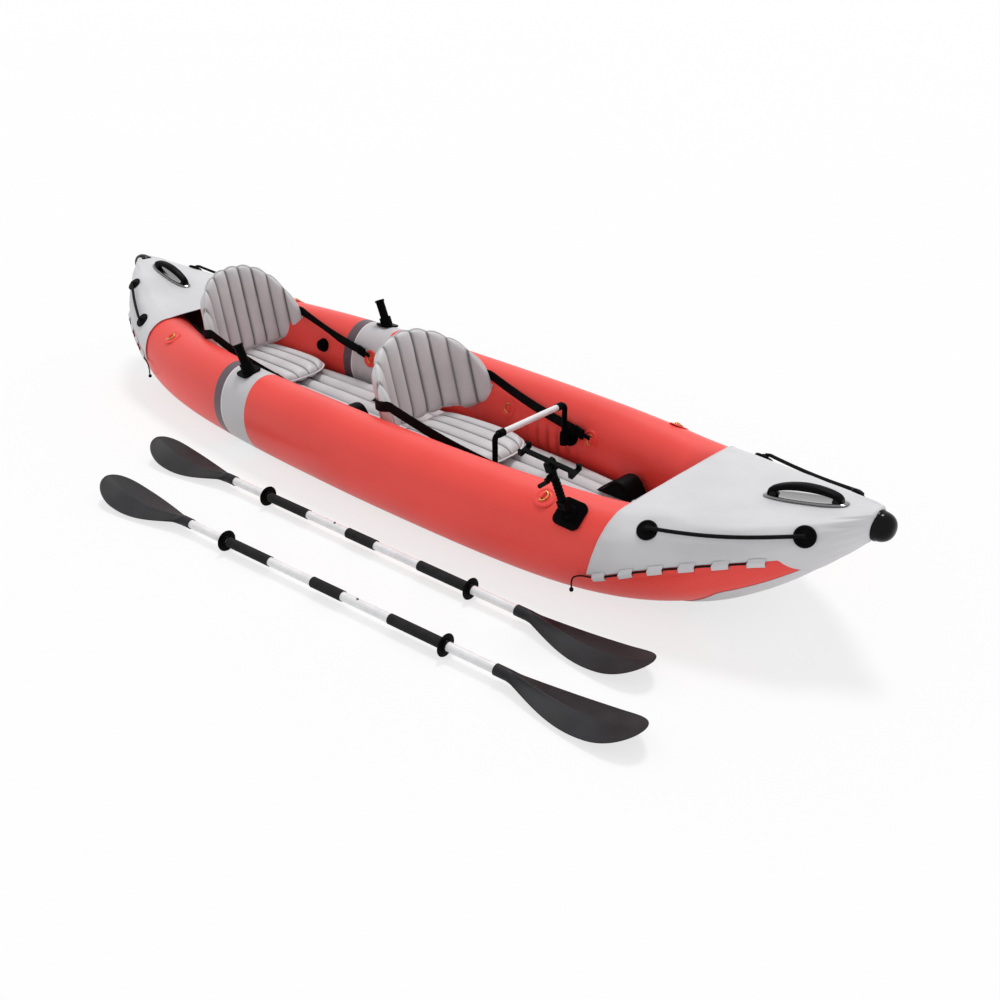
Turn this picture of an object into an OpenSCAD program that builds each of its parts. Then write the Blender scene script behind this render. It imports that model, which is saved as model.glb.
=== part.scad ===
// Two-seat inflatable kayak with laced end covers, rod mounts and two take-apart paddles.
// Millimetres, +Z up, +X towards the bow, +Y to port. The origin lies on the ground under the
// middle of the hull.

/* [Hull] */
// Overall length over both nose caps
hull_length = 3860; // [3780:10:3940]
// Beam over both side tubes
beam = 956; // [946:2:966]
// Width of one side tube
tube_w = 250; // [246:1:252]
// Height of one side tube
tube_h = 320; // [316:1:324]
// Height of the top of the noses
nose_top = 446; // [436:2:456]
// Radius of the nose caps
nose_r = 38; // [35:1:40]

/* [Floor and seats] */
// Height of the floor's crests above the ground
floor_top = 125; // [120:1:128]
// Number of lengthwise floor chambers
floor_chambers = 6; // [4:1:8]
// Front edge of the front cushion, from the middle of the hull
front_seat_x = 472; // [460:2:480]
// Front edge of the rear cushion, from the stern end of the tubes
rear_seat_in = 1178; // [1168:2:1188]
// Length of a cushion
cushion_l = 450; // [440:5:460]
// Width of a cushion
cushion_w = 340; // [320:2:350]
// Thickness of a cushion at its crown
cushion_t = 60; // [54:1:64]
// Height of a backrest along its face
back_h = 315; // [305:5:320]
// Width of a backrest round its curve
back_w = 610; // [590:5:616]
// Recline of a backrest
back_tilt = 14; // [10:1:16]

/* [Fittings] */
// Outer diameter of the rod tubes
rod_tube_d = 36; // [34:0.5:38]
// Bore of the rod tubes
rod_bore_d = 25; // [23:0.5:26]
// Length of a rod tube
rod_tube_l = 98; // [90:1:110]
// Lean of the rod tubes towards the stern
rod_lean = 25; // [15:1:30]
// Height of the bracket's crossbar
bracket_z = 338; // [332:1:350]
// Diameter of the bracket's crossbar
bracket_d = 22; // [20:1:24]
// Length of the swivel rod holder's arm
arm_l = 150; // [142:1:160]

/* [Paddles] */
// Overall length of a paddle
paddle_l = 2330; // [2290:10:2370]
// Length of a blade with its neck
blade_l = 475; // [465:5:485]
// Width of a blade
blade_w = 166; // [156:2:172]
// Diameter of the shaft
shaft_d = 30; // [29:0.5:31]
// Diameter of a drip ring
ring_d = 74; // [68:1:76]

/* [Hidden] */
$fn = 48;
red = [0.88, 0.22, 0.19];
grey = [0.80, 0.80, 0.81];
black = [0.07, 0.07, 0.08];
brass = [0.80, 0.66, 0.35];
silver = [0.86, 0.87, 0.88];

cap_l = 52;
x_end = hull_length / 2 - cap_l;
half_beam = beam / 2;
half_gap = half_beam - tube_w;
nose_low = nose_top - 2 * nose_r;
// how far the resting tubes are pressed flat on the ground
sit = 1.2;
// distances of the tube's rings from its end
ring_at = [
    1700, 1500, 1286, 1150, 1030, 910, 790, 673, 610, 553, 470, 400, 330, 260,
    198, 165, 140, 120, 105, 90, 45, 0
];
rings_n = len(ring_at);
sides = 24;
bow_ring = 7;
stern_ring = 9;
// angle of the covers' lower edges, by distance from the tube's end
skirt = [[0, -88], [93, -88], [133, -35], [178, 5], [228, 11], [278, 14.2], [360, 15.4], [448, 12.6], [540, 6], [673, -10]];
cover_gap = 2.9;
cover_t = 2.4;
plan_curve = 142;
cover_off = cover_gap + cover_t;
deck_crown = 3;
floor_low = 4.9;
floor_end = x_end - 790;
rear_seat_x = rear_seat_in - x_end;
lace_off = 8.4;
// first lace tab of a cover and number of these tabs, at the bow and at the stern
lace_first = [x_end - 656, x_end - 536];
lace_tabs = [6, 4];
lace_step = 86;
seat_z = floor_top - 0.4;
seam = 4;
back_r = 245;
// width at the foot, droop of the wings, share of the width and height of the full width,
// for the front and the rear backrest
back_foot = [0.82, 0.5];
back_droop = [32, -12];
back_share = [1, 0.96];
back_rise = [0.6, 0.75];
back_t = 58;
back_lobes = 9;
cushion_lobes = 5;
hinge_z = seat_z + cushion_t;
hinge_x = [front_seat_x - 464, rear_seat_x - 412];
strap_w = 36;
strap_t = 2.4;
strap_y = [243.4, 235.6];
buckle_in = [6.2, 8.2];
wall_ring_z = 213;
rod_x = -560;
rod_ang = 80;
deck_ring_x = [x_end - 908, 728 - x_end];
foot_x = [floor_end - 173, rear_seat_x + 430];
bracket_x = 592;
bracket_y = 184;
arm_x = x_end - 798;
arm_ang = 54;
// places of the paddles: middle of the shaft and turn from +X
paddles = [[538, -897, 184.42], [380, -619, 2.9]];
shaft_z = ring_d / 2 + 0.5;
socket = paddle_l / 2 - blade_l;
drip_at = 489;
grip_l = 206;
sleeve_l = 134;

function ramp(x, from, to) = max(0, min(1, (abs(x) - from) / (to - from)));
function outer_y(x) = let (t = abs(x) / x_end)
    half_beam - plan_curve * t * t - (half_beam - plan_curve - nose_r) * pow(t, 6.3);
function inner_y(x) = max(1, half_gap * (1 - pow(abs(x) / (x_end - 258), 3)));
function top_z(x) = tube_h + (nose_top - tube_h) * pow(ramp(x, x_end - 800, x_end), 1.76);
function low_z(x) = -sit + (nose_low + sit) * pow(ramp(x, x_end - 1286, x_end), 3.94);
function skirt_ang(x) = lookup(x_end - abs(x), skirt);
function mid_y(x) = (outer_y(x) + inner_y(x)) / 2;
function half_w(x) = (outer_y(x) - inner_y(x)) / 2;
function mid_z(x) = (top_z(x) + low_z(x)) / 2;
function half_h(x) = (top_z(x) - low_z(x)) / 2;
// point on a side tube: side 1 is port, angle 0 is outboard, 90 is up, 180 is inboard
function on_tube(x, side, ang, off = 0) = [
    x,
    side * (mid_y(x) + (half_w(x) + off) * cos(ang)),
    max(0, mid_z(x) + (half_h(x) + off) * sin(ang))
];
function unit(v) = v / norm(v);
function normal_at(x, side, ang) = let (
    along = on_tube(x + 4, side, ang) - on_tube(x - 4, side, ang),
    round_it = on_tube(x, side, ang + 2) - on_tube(x, side, ang - 2)
) unit(side * cross(round_it, along));
function wall_ang(x, z) = 180 - asin((z - mid_z(x)) / half_h(x));
function deck_z(x) = top_z(x) + cover_off + deck_crown;
function deck_slope(x) = atan((deck_z(abs(x) + 4) - deck_z(abs(x) - 4)) / 8);

// closed solid through rings of equal length, each end closed from its own middle
module loft(rings) {
    n = len(rings);
    m = len(rings[0]);
    mids = [for (r = [rings[0], rings[n - 1]]) [for (k = [0:2]) [for (p = r) p[k]] * [for (p = r) 1 / m]]];
    points = concat([for (r = rings) each r], mids);
    faces = concat(
        [for (i = [0:n - 2], j = [0:m - 1]) each [
            [i * m + j, (i + 1) * m + j, i * m + (j + 1) % m],
            [i * m + (j + 1) % m, (i + 1) * m + j, (i + 1) * m + (j + 1) % m]
        ]],
        [for (j = [0:m - 1]) [n * m, j, (j + 1) % m]],
        [for (j = [0:m - 1]) [n * m + 1, (n - 1) * m + (j + 1) % m, (n - 1) * m + j]]
    );
    polyhedron(points, faces);
}

// sheet with thickness between two grids of points, both listed row by row
module sheet(top, low) {
    n = len(top);
    m = len(top[0]);
    c = n * m;
    points = concat([for (r = top) each r], [for (r = low) each r]);
    faces = concat(
        [for (i = [0:n - 2], j = [0:m - 2]) each [
            [i * m + j, i * m + j + 1, (i + 1) * m + j],
            [i * m + j + 1, (i + 1) * m + j + 1, (i + 1) * m + j],
            [c + i * m + j, c + (i + 1) * m + j, c + i * m + j + 1],
            [c + i * m + j + 1, c + (i + 1) * m + j, c + (i + 1) * m + j + 1]
        ]],
        [for (i = [0:n - 2]) each [
            [i * m, (i + 1) * m, c + i * m],
            [(i + 1) * m, c + (i + 1) * m, c + i * m],
            [i * m + m - 1, c + i * m + m - 1, (i + 1) * m + m - 1],
            [(i + 1) * m + m - 1, c + i * m + m - 1, c + (i + 1) * m + m - 1]
        ]],
        [for (j = [0:m - 2]) each [
            [j, c + j, j + 1],
            [j + 1, c + j, c + j + 1],
            [(n - 1) * m + j, (n - 1) * m + j + 1, c + (n - 1) * m + j],
            [(n - 1) * m + j + 1, c + (n - 1) * m + j + 1, c + (n - 1) * m + j]
        ]]
    );
    polyhedron(points, faces);
}

// round cord along a list of points, which may start with a bead of its own radii
module cord(path, r, bead = [], n = 8) {
    last = len(path) - 1;
    rings = [for (i = [0:last]) let (
        dir = unit(path[min(last, i + 1)] - path[max(0, i - 1)]),
        side = unit(cross([0, 1, 0], dir)),
        up = cross(dir, side),
        thick = i < len(bead) ? bead[i] : r
    ) [for (k = [0:n - 1]) path[i] + thick * (cos(360 * k / n) * side + sin(360 * k / n) * up)]];
    loft(rings);
}

// puts children on a side tube, local Z along its normal and local X along the hull
module on_skin(x, side, ang, off = 0) {
    n = normal_at(x, side, ang);
    u = unit([1, 0, 0] - n * n[0]);
    v = cross(n, u);
    p = on_tube(x, side, ang) + n * off;
    multmatrix([
        [u[0], v[0], n[0], p[0]],
        [u[1], v[1], n[1], p[1]],
        [u[2], v[2], n[2], p[2]],
        [0, 0, 0, 1]
    ]) children();
}

module rounded_plate(l, w, r, h) {
    linear_extrude(h) {
        square([l, w - 2 * r], center = true);
        square([l - 2 * r, w], center = true);
        for (a = [-1, 1], b = [-1, 1]) translate([a * (l / 2 - r), b * (w / 2 - r)]) circle(r);
    }
}

module side_tube(side) {
    xs = concat([for (i = [rings_n - 1:-1:0]) -(x_end - ring_at[i])], [for (d = ring_at) x_end - d]);
    loft([for (x = xs) [for (k = [0:sides - 1]) on_tube(x, side, side * 360 * k / sides)]]);
}

module starboard_tube() {
    color(red) side_tube(-1);
}

module port_tube() {
    color(red) side_tube(1);
}

// inflated floor: a row of lengthwise chambers, let down at both ends
module floor_mat() {
    xs = concat(
        [for (d = [0, 12, 40, 90, 180]) -(floor_end - d)],
        [for (x = [-500, 0, 500]) x],
        [for (d = [180, 90, 40, 12, 0]) floor_end - d]
    );
    steps = floor_chambers * 5;
    color(grey) loft([for (x = xs) let (
        w = min(half_gap, inner_y(x)) - 5,
        e = 0.45 + 0.55 * sqrt(1 - pow(ramp(x, floor_end - 90, floor_end), 2)),
        base = low_z(x) + sit + floor_low,
        top = floor_low + (floor_top - floor_low) * e
    ) concat(
        [[x, -w, base + 10], [x, -w + 10, base], [x, w - 10, base], [x, w, base + 10]],
        [for (k = [0:steps]) let (
            y = w - 2 * w * k / steps,
            edge = pow(abs(y) / w, 10)
        ) [x, y, top - 22 * (1 - pow(abs(sin(180 * k / 5)), 0.7)) - 24 * edge]]
    )]);
}

// underside between the tubes, flat in the middle and rising with them at the ends
module bottom_skin() {
    xs = concat([for (i = [10:-1:2]) -(x_end - ring_at[i])], [for (i = [2:10]) x_end - ring_at[i]]);
    function row(x, z) = let (w = mid_y(x) - 33 - 7 * ramp(x, 592, 1408)) [for (k = [-1, 0, 1]) [x, k * w, low_z(x) + sit + z]];
    color(red) sheet([for (x = xs) row(x, 4)], [for (x = xs) row(x, 0)]);
}

// rows of points across both tubes from one skirt edge to the other
function cover_row(x, off) = concat(
    [for (k = [0:14]) on_tube(x, 1, skirt_ang(x) + (90 - skirt_ang(x)) * k / 14, off)],
    [for (k = [2 / 3, 1 / 3, 0, -1 / 3, -2 / 3])
        [x, k * mid_y(x), top_z(x) + off + deck_crown * (1 - k * k)]],
    [for (k = [14:-1:0]) on_tube(x, -1, skirt_ang(x) + (90 - skirt_ang(x)) * k / 14, off)]
);
function keel_row(x, off) = concat(
    [for (a = [-45:-15:-90]) on_tube(x, 1, a, off)],
    [[x, 0, low_z(x) - off]],
    [for (a = [-90:15:-45]) on_tube(x, -1, a, off)]
);

module end_cover(first) {
    xs = [for (i = [first:rings_n - 1]) x_end - ring_at[i]];
    sheet([for (x = xs) cover_row(x, cover_gap)], [for (x = xs) cover_row(x, cover_off)]);
}

module bow_cover() {
    color(grey) end_cover(bow_ring);
}

module stern_cover() {
    color(grey) mirror([1, 0, 0]) end_cover(stern_ring);
}

module keel_patches() {
    xs = [for (i = [11:16]) x_end - ring_at[i]];
    color(grey) for (m = [0, 1]) mirror([m, 0, 0])
        sheet([for (x = xs) keel_row(x, 1.6)], [for (x = xs) keel_row(x, 0.5)]);
}

module nose_caps() {
    r = nose_r + 5;
    color(black) for (m = [0, 1]) mirror([m, 0, 0]) translate([x_end + 0.5, 0, (nose_top + nose_low) / 2])
        rotate([0, 90, 0]) rotate_extrude() polygon(concat(
            [[0, 0], [r, 0], [r, 9], [r - 3, 12]],
            [for (a = [10:10:90]) [(r - 4) * cos(a), 12 + (cap_l - 12.5) * sin(a)]]
        ));
}

// moulded grip on two feet, one on each deck
module carry_handles() {
    x1 = x_end - 337;
    len_h = 214;
    color(black) for (m = [0, 1]) mirror([m, 0, 0])
        translate([x1, 0, deck_z(x1) + 1.5]) rotate([0, -deck_slope(x1 + len_h / 2), 0]) {
            for (x = [0, len_h]) translate([x, 0, 0]) {
                cylinder(h = 8, r = 27);
                cylinder(h = 30, r = 10);
                translate([0, 0, 30]) sphere(r = 11);
            }
            translate([0, 0, 30]) rotate([0, 90, 0]) cylinder(h = len_h, r = 11);
            translate([30, 0, 30]) rotate([0, 90, 0]) cylinder(h = len_h - 60, r = 13);
        }
}

// grab-line buttons: distance from the tube's end and angle, at the bow and at the stern
buttons = [[[547, 53], [136, 37]], [[451, 46], [172, 52]]];
function button_at_end(m, i) = x_end - buttons[m][i][0];

module grab_buttons() {
    color(black) for (m = [0, 1], side = [-1, 1], i = [0, 1]) mirror([m, 0, 0])
        on_skin(button_at_end(m, i), side, buttons[m][i][1], cover_off + 0.3) {
            cylinder(h = 5, r = 32);
            cylinder(h = 12, r = 20);
        }
}

// cords from button to button, lying a little off the deck
function line_end(m, side, i) = on_tube(button_at_end(m, i), side, buttons[m][i][1])
    + normal_at(button_at_end(m, i), side, buttons[m][i][1]) * (cover_off + 0.3 + 12 + 6.95);

module grab_lines() {
    color(black) for (m = [0, 1], side = [-1, 1]) mirror([m, 0, 0]) {
        a = line_end(m, side, 0);
        b = line_end(m, side, 1);
        cord([for (k = [0:12]) let (t = k / 12) a + (b - a) * t + [0, side * 20, -7] * sin(180 * t)], 6);
    }
}

function lace_ang(x) = skirt_ang(x) - 570 / half_w(x);
function lace_at(x, side) = on_tube(x, side, lace_ang(x), lace_off);

// one short sleeve round the lace
module lace_sleeve(x, side) {
    a = lace_at(x - 20, side);
    b = lace_at(x + 20, side);
    d = unit(b - a);
    translate(a) rotate([0, acos(d[2]), atan2(d[1], d[0])]) difference() {
        cylinder(h = norm(b - a), r = 7.5, $fn = 24);
        translate([0, 0, -1]) cylinder(h = norm(b - a) + 2, r = 3.6, $fn = 24);
    }
}

module hull_lace_tabs() {
    color(red) for (m = [0, 1], side = [-1, 1], k = [0:lace_tabs[m] - 2]) mirror([m, 0, 0])
        lace_sleeve(lace_first[m] + lace_step * (k + 0.5), side);
}

module cover_lace_tabs() {
    color(grey) for (m = [0, 1], side = [-1, 1], k = [0:lace_tabs[m] - 1]) mirror([m, 0, 0])
        lace_sleeve(lace_first[m] + lace_step * k, side);
}

// lace through all the sleeves, with a short end that hangs at the cover's corner
module lace_cords() {
    color(black) for (m = [0, 1], side = [-1, 1]) mirror([m, 0, 0]) {
        x0 = lace_first[m] - 24;
        p = lace_at(x0, side);
        cord(concat(
            [for (h = [-66, -64.4, -62, -59, -56, -53.6, -51.5]) p + [-60, side * 20, h]],
            [p + [-61, side * 20, -34], p + [-56, side * 18, -15], p + [-38, side * 12, -4], p + [-18, side * 5, -1]],
            [for (k = [0:4 * lace_tabs[m] - 2]) lace_at(x0 + k * 21.5, side)]
        ), 2.6, bead = [2, 4.6, 6.4, 7, 6.4, 4.6, 2.8]);
    }
}

// the rod tubes lean towards the stern only, though their bases lie on the round of the side tubes
module along_rod(side) {
    rotate([side * (90 - rod_ang), 0, 0]) rotate([0, -rod_lean, 0]) children();
}

module rod_bases() {
    color(black) for (side = [-1, 1]) on_skin(rod_x, side, rod_ang, -0.3) difference() {
        union() {
            rounded_plate(70, 84, 18, 7);
            intersection() {
                along_rod(side) translate([0, 0, -20]) cylinder(h = 58, r = rod_tube_d / 2 + 7);
                translate([-100, -100, 1]) cube(200);
            }
        }
        along_rod(side) translate([0, 0, 16]) cylinder(h = 60, r = rod_tube_d / 2 + 0.35);
    }
}

module rod_tubes() {
    color(black) for (side = [-1, 1]) on_skin(rod_x, side, rod_ang, -0.3) along_rod(side)
        translate([0, 0, 16.5]) difference() {
            union() {
                cylinder(h = rod_tube_l, r = rod_tube_d / 2);
                translate([0, 0, rod_tube_l - 9]) cylinder(h = 9, r = rod_tube_d / 2 + 2.5);
            }
            translate([0, 0, 10]) cylinder(h = rod_tube_l, r = rod_bore_d / 2);
        }
}

// ring places along the inner walls
inner_ring_x = [front_seat_x + 215, rear_seat_x + 175, 267];

// puts children at every ring; on the inner walls they point to the stern
module at_rings() {
    for (side = [-1, 1]) {
        for (x = deck_ring_x) on_skin(x, side, 66, -0.3) children();
        for (x = inner_ring_x) on_skin(x, side, wall_ang(x, wall_ring_z), 0.9) rotate([0, 0, 180]) children();
    }
}

module ring_patches() {
    color(red) at_rings() {
        cylinder(h = 2, r = 36);
        difference() {
            translate([-9, 0, 5.5]) rotate([90, 0, 0]) cylinder(h = 24, r = 5.5, center = true);
            translate([-9, 0, 5.5]) rotate([90, 0, 0]) cylinder(h = 30, r = 2.9, center = true);
        }
    }
}

module d_rings() {
    color(brass) at_rings() translate([-9, 0, 5.5]) {
        rotate([90, 0, 0]) cylinder(h = 36, r = 2.4, center = true);
        rotate([0, 0, -90]) rotate_extrude(angle = 180) translate([18, 0]) circle(r = 2.4);
    }
}

valve_x = rear_seat_x - 112;
valve_z = 210;

module at_valve(side) {
    on_skin(valve_x, side, wall_ang(valve_x, valve_z), 0.5) children();
}

module valve_bases() {
    color(black) for (side = [-1, 1]) at_valve(side) difference() {
        union() {
            cylinder(h = 3, r = 30);
            cylinder(h = 10, r = 22);
        }
        translate([0, 0, 4]) cylinder(h = 8, r = 17);
    }
}

module valve_cap(side) {
    at_valve(side) {
        translate([0, 0, 10.4]) cylinder(h = 8, r = 24);
        translate([0, 0, 5]) cylinder(h = 7, r = 16.5);
        translate([-20, -3, 18]) cube([40, 6, 5]);
    }
}

module port_valve_cap() {
    color(black) valve_cap(1);
}

module starboard_valve_cap() {
    color(black) valve_cap(-1);
}

// wedges for the feet, a pair for each paddler
module foot_wedges(x) {
    for (side = [-1, 1]) translate([x, side * 112, seat_z]) rotate([90, 0, 0])
        linear_extrude(100, center = true) polygon([[-70, 0], [70, 0], [40, 50], [30, 58], [-4, 58], [-14, 53]]);
}

module front_footrests() {
    color(black) foot_wedges(foot_x[0]);
}

module rear_footrests() {
    color(black) foot_wedges(foot_x[1]);
}

// cushion with lengthwise chambers, rounded at the front, flat where it lies on the floor
module cushion(seat) {
    nu = cushion_lobes * 4;
    nv = 10;
    function plan(u, v) = let (
        l = cushion_l * (1 - 0.10 * pow(abs(u), 3)),
        w = cushion_w / 2 * (1 - 0.05 * pow(v, 4) - 0.18 * pow(1 - v, 2))
    ) [seat - cushion_l + l * v, u * w];
    function fill(u, v) = let (
        lobe = 0.66 + 0.34 * pow(abs(sin(90 * cushion_lobes * (u + 1))), 0.8),
        edge = sqrt(1 - pow(abs(u), 6)) * sqrt(1 - pow(abs(2 * v - 1), 8))
    ) lobe * edge;
    mid = cushion_t * 0.45;
    rows = [for (i = [0:nv]) let (s = i / nv) 0.5 - 0.5 * cos(180 * s)];
    cols = [for (j = [0:nu]) -1 + 2 * j / nu];
    top = [for (v = rows) [for (u = cols) let (p = plan(u, v))
        [p[0], p[1], seat_z + mid + seam / 2 + (cushion_t - mid - seam / 2) * fill(u, v)]]];
    low = [for (v = rows) [for (u = cols) let (p = plan(u, v))
        [p[0], p[1], seat_z + max(0, (mid - seam / 2) * (1 - 1.25 * fill(u, v)))]]];
    sheet(top, low);
}

module front_cushion() {
    color(grey) cushion(front_seat_x);
}

module rear_cushion() {
    color(grey) cushion(rear_seat_x);
}

// backrest with upright chambers, curved round the paddler and rounded at the top
module backrest(i) {
    nu = back_lobes * 4;
    nv = 9;
    function spot(u, v, off) = let (
        tall = back_h * (1 - 0.50 * pow(abs(u), 2.2)),
        w = back_w / 2 * back_share[i] * (back_foot[i] + (1 - back_foot[i]) * min(1, v / back_rise[i])),
        a = u * w / back_r * 180 / PI
    ) [back_r - (back_r - off) * cos(a), (back_r - off) * sin(a), v * tall - back_droop[i] * u * u];
    function fill(u, v) = let (
        lobe = 0.30 + 0.70 * pow(abs(sin(90 * back_lobes * (u + 1))), 0.7),
        edge = sqrt(1 - pow(abs(u), 8)) * sqrt(1 - pow(abs(2 * v - 1), 8))
    ) (seam + (back_t - seam) * lobe * edge) / 2;
    rows = [for (i = [0:nv]) 0.5 - 0.5 * cos(180 * i / nv)];
    cols = [for (j = [0:nu]) -1 + 2 * j / nu];
    translate([hinge_x[i], 0, hinge_z]) rotate([0, -back_tilt, 0]) sheet(
        [for (v = rows) [for (u = cols) spot(u, v, -fill(u, v))]],
        [for (v = rows) [for (u = cols) spot(u, v, fill(u, v))]]
    );
}

module front_back() {
    color(grey) backrest(0);
}

module rear_back() {
    color(grey) backrest(1);
}

// webbing from the backrest's edges to the buckles
function strap_from(i) = [hinge_x[i] + 100, strap_y[i], 344];
function strap_to(i) = let (x = inner_ring_x[i])
    [x - 70, on_tube(x, 1, wall_ang(x, wall_ring_z))[1] - buckle_in[i], wall_ring_z + 30];

module along_strap(i, side) {
    a = strap_from(i);
    b = strap_to(i);
    d = b - a;
    translate([a[0], side * a[1], a[2]])
        rotate([0, -atan(d[2] / d[0]), side * atan(d[1] / d[0])]) children();
}

module straps(i) {
    l = norm(strap_to(i) - strap_from(i));
    for (side = [-1, 1]) along_strap(i, side)
        translate([0, -strap_t / 2, -strap_w / 2]) cube([l, strap_t, strap_w]);
}

module front_straps() {
    color(black) straps(0);
}

module rear_straps() {
    color(black) straps(1);
}

module strap_buckles() {
    color(black) for (i = [0, 1], side = [-1, 1]) {
        l = norm(strap_to(i) - strap_from(i));
        along_strap(i, side) translate([l + 0.4, -5, -20]) {
            cube([44, 10, 40]);
            translate([44, 3.4, 8]) cube([32, 3.2, 24]);
        }
    }
}

// cups on the inner walls that take the bracket's legs
module bracket_sockets() {
    z = 200;
    color(black) for (side = [-1, 1]) difference() {
        union() {
            on_skin(bracket_x, side, wall_ang(bracket_x, z), 0.9) {
                cylinder(h = 4, r = 38);
                cylinder(h = 26, r = 15);
            }
            translate([bracket_x, side * bracket_y, z - 22]) cylinder(h = 48, r = 16);
        }
        translate([bracket_x, side * bracket_y, z - 16]) cylinder(h = 60, r = 10.4);
    }
}

module bracket_legs() {
    z0 = 186;
    bend = 18;
    color(black) for (side = [-1, 1]) translate([bracket_x, side * bracket_y, 0]) difference() {
        union() {
            translate([0, 0, z0]) cylinder(h = bracket_z - bend - z0, r = 10);
            translate([0, -side * bend, bracket_z - bend]) rotate([90, 0, side * 90])
                rotate_extrude(angle = 90) translate([bend, 0]) circle(r = 10);
            translate([0, -side * bend, bracket_z]) rotate([side * 90, 0, 0]) cylinder(h = 26, r = bracket_d / 2 + 3);
        }
        translate([0, -side * (bend + 6), bracket_z]) rotate([side * 90, 0, 0]) cylinder(h = 40, r = bracket_d / 2 + 0.3);
    }
}

module bracket_bar() {
    l = 2 * (bracket_y - 18 - 7);
    color(silver) translate([bracket_x, 0, bracket_z]) rotate([90, 0, 0]) difference() {
        cylinder(h = l, r = bracket_d / 2, center = true);
        cylinder(h = l + 2, r = bracket_d / 2 - 1.6, center = true);
    }
}

module at_arm() {
    on_skin(arm_x, -1, arm_ang, 0.1) children();
}

// the arm stands on a knuckle over its plate, more upright than the plate
knuckle_z = 60;
arm_lean = [17.5, -6, 0];
module at_link() {
    translate(on_tube(arm_x, -1, arm_ang) + normal_at(arm_x, -1, arm_ang) * (knuckle_z + 0.1))
        rotate(arm_lean) children();
}

pivot_z = arm_l + 16;
lever_z = arm_l - 26;
knuckle_r = 13;

module arm_base() {
    color(black) at_arm() difference() {
        union() {
            rounded_plate(94, 94, 22, 8);
            cylinder(h = 34, r1 = 30, r2 = 21);
        }
        translate([0, 0, 12]) cylinder(h = 30, r = 10.4);
    }
}

// swivel foot with the knuckle's tongue
module arm_stem() {
    color(black) {
        at_arm() {
            translate([0, 0, 14]) cylinder(h = 30, r = 10);
            translate([0, 0, 34.5]) cylinder(h = 9.5, r = 18);
        }
        at_link() difference() {
            union() {
                rotate([0, 90, 0]) cylinder(h = 14, r = knuckle_r, center = true);
                translate([0, 0, -20]) cylinder(h = 20, r = 6.5);
            }
            rotate([0, 90, 0]) cylinder(h = 16, r = 5.3, center = true);
        }
    }
}

// ridged post with cheeks and a pin below, a boss for the lock lever and a forked head
module arm_link() {
    ridge = 13;
    foot = 30;
    count = floor((lever_z - 16 - foot) / ridge);
    color(black) at_link() difference() {
        union() {
            rotate([0, 90, 0]) cylinder(h = 28, r = 5, center = true);
            for (s = [-1, 1]) translate([s * 11, 0, 0]) {
                rotate([0, 90, 0]) cylinder(h = 7, r = knuckle_r, center = true);
                translate([-3.5, -knuckle_r, 0]) cube([7, 2 * knuckle_r, 22]);
            }
            translate([-14.5, -knuckle_r, 14]) cube([29, 2 * knuckle_r, 10]);
            translate([0, 0, 20]) rotate_extrude() polygon(concat(
                [[0, 0], [11, 0]],
                [for (k = [0:count - 1]) each [
                    [9.5, foot - 20 + ridge * k], [13.5, foot - 16 + ridge * k],
                    [13.5, foot - 13 + ridge * k], [9.5, foot - 9 + ridge * k]
                ]],
                [[11, arm_l - 60], [12, arm_l - 20], [0, arm_l - 20]]
            ));
            translate([-12, -16, arm_l - 12]) cube([24, 32, 12]);
            for (s = [-1, 1]) {
                translate([0, s * 12.5, pivot_z]) rotate([90, 0, 0]) cylinder(h = 7, r = 12, center = true);
                translate([-12, s * 12.5 - 3.5, arm_l - 2]) cube([24, 7, 18]);
            }
            translate([0, 0, lever_z]) rotate([90, 0, 0]) cylinder(h = 22, r = 11);
        }
        translate([0, -6, lever_z]) rotate([90, 0, 0]) cylinder(h = 20, r = 5.3);
        translate([0, 0, pivot_z]) rotate([90, 0, 0]) cylinder(h = 60, r = 4.3, center = true);
    }
}

module lock_lever() {
    color(black) at_link() translate([0, 0, lever_z]) {
        translate([0, -7, 0]) rotate([90, 0, 0]) cylinder(h = 42, r = 5);
        translate([0, -22.5, 0]) rotate([90, 0, 0]) cylinder(h = 12, r = 9);
        translate([0, -47, 0]) rotate([0, 55, 0]) cylinder(h = 54, r = 7, center = true);
    }
}

// cradle bar with a fork at each end, on a pin through the arm's head
module rod_cradle() {
    half = 92;
    color(black) at_link() translate([0, 0, pivot_z]) rotate([0, 12, 0]) {
        rotate([90, 0, 0]) cylinder(h = 36, r = 4, center = true);
        rotate([90, 0, 0]) cylinder(h = 17, r = 11, center = true);
        translate([-half, -7, 3]) cube([2 * half, 14, 9]);
        for (s = [-1, 1]) translate([s * half, 0, 3]) {
            translate([-7, -20, 0]) cube([14, 40, 9]);
            for (t = [-1, 1]) translate([-7, t * 20 - 4, 0]) cube([14, 8, 21]);
        }
    }
}

module at_paddle(i) {
    translate([paddles[i][0], paddles[i][1], shaft_z]) rotate([0, 0, paddles[i][2]]) children();
}

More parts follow.
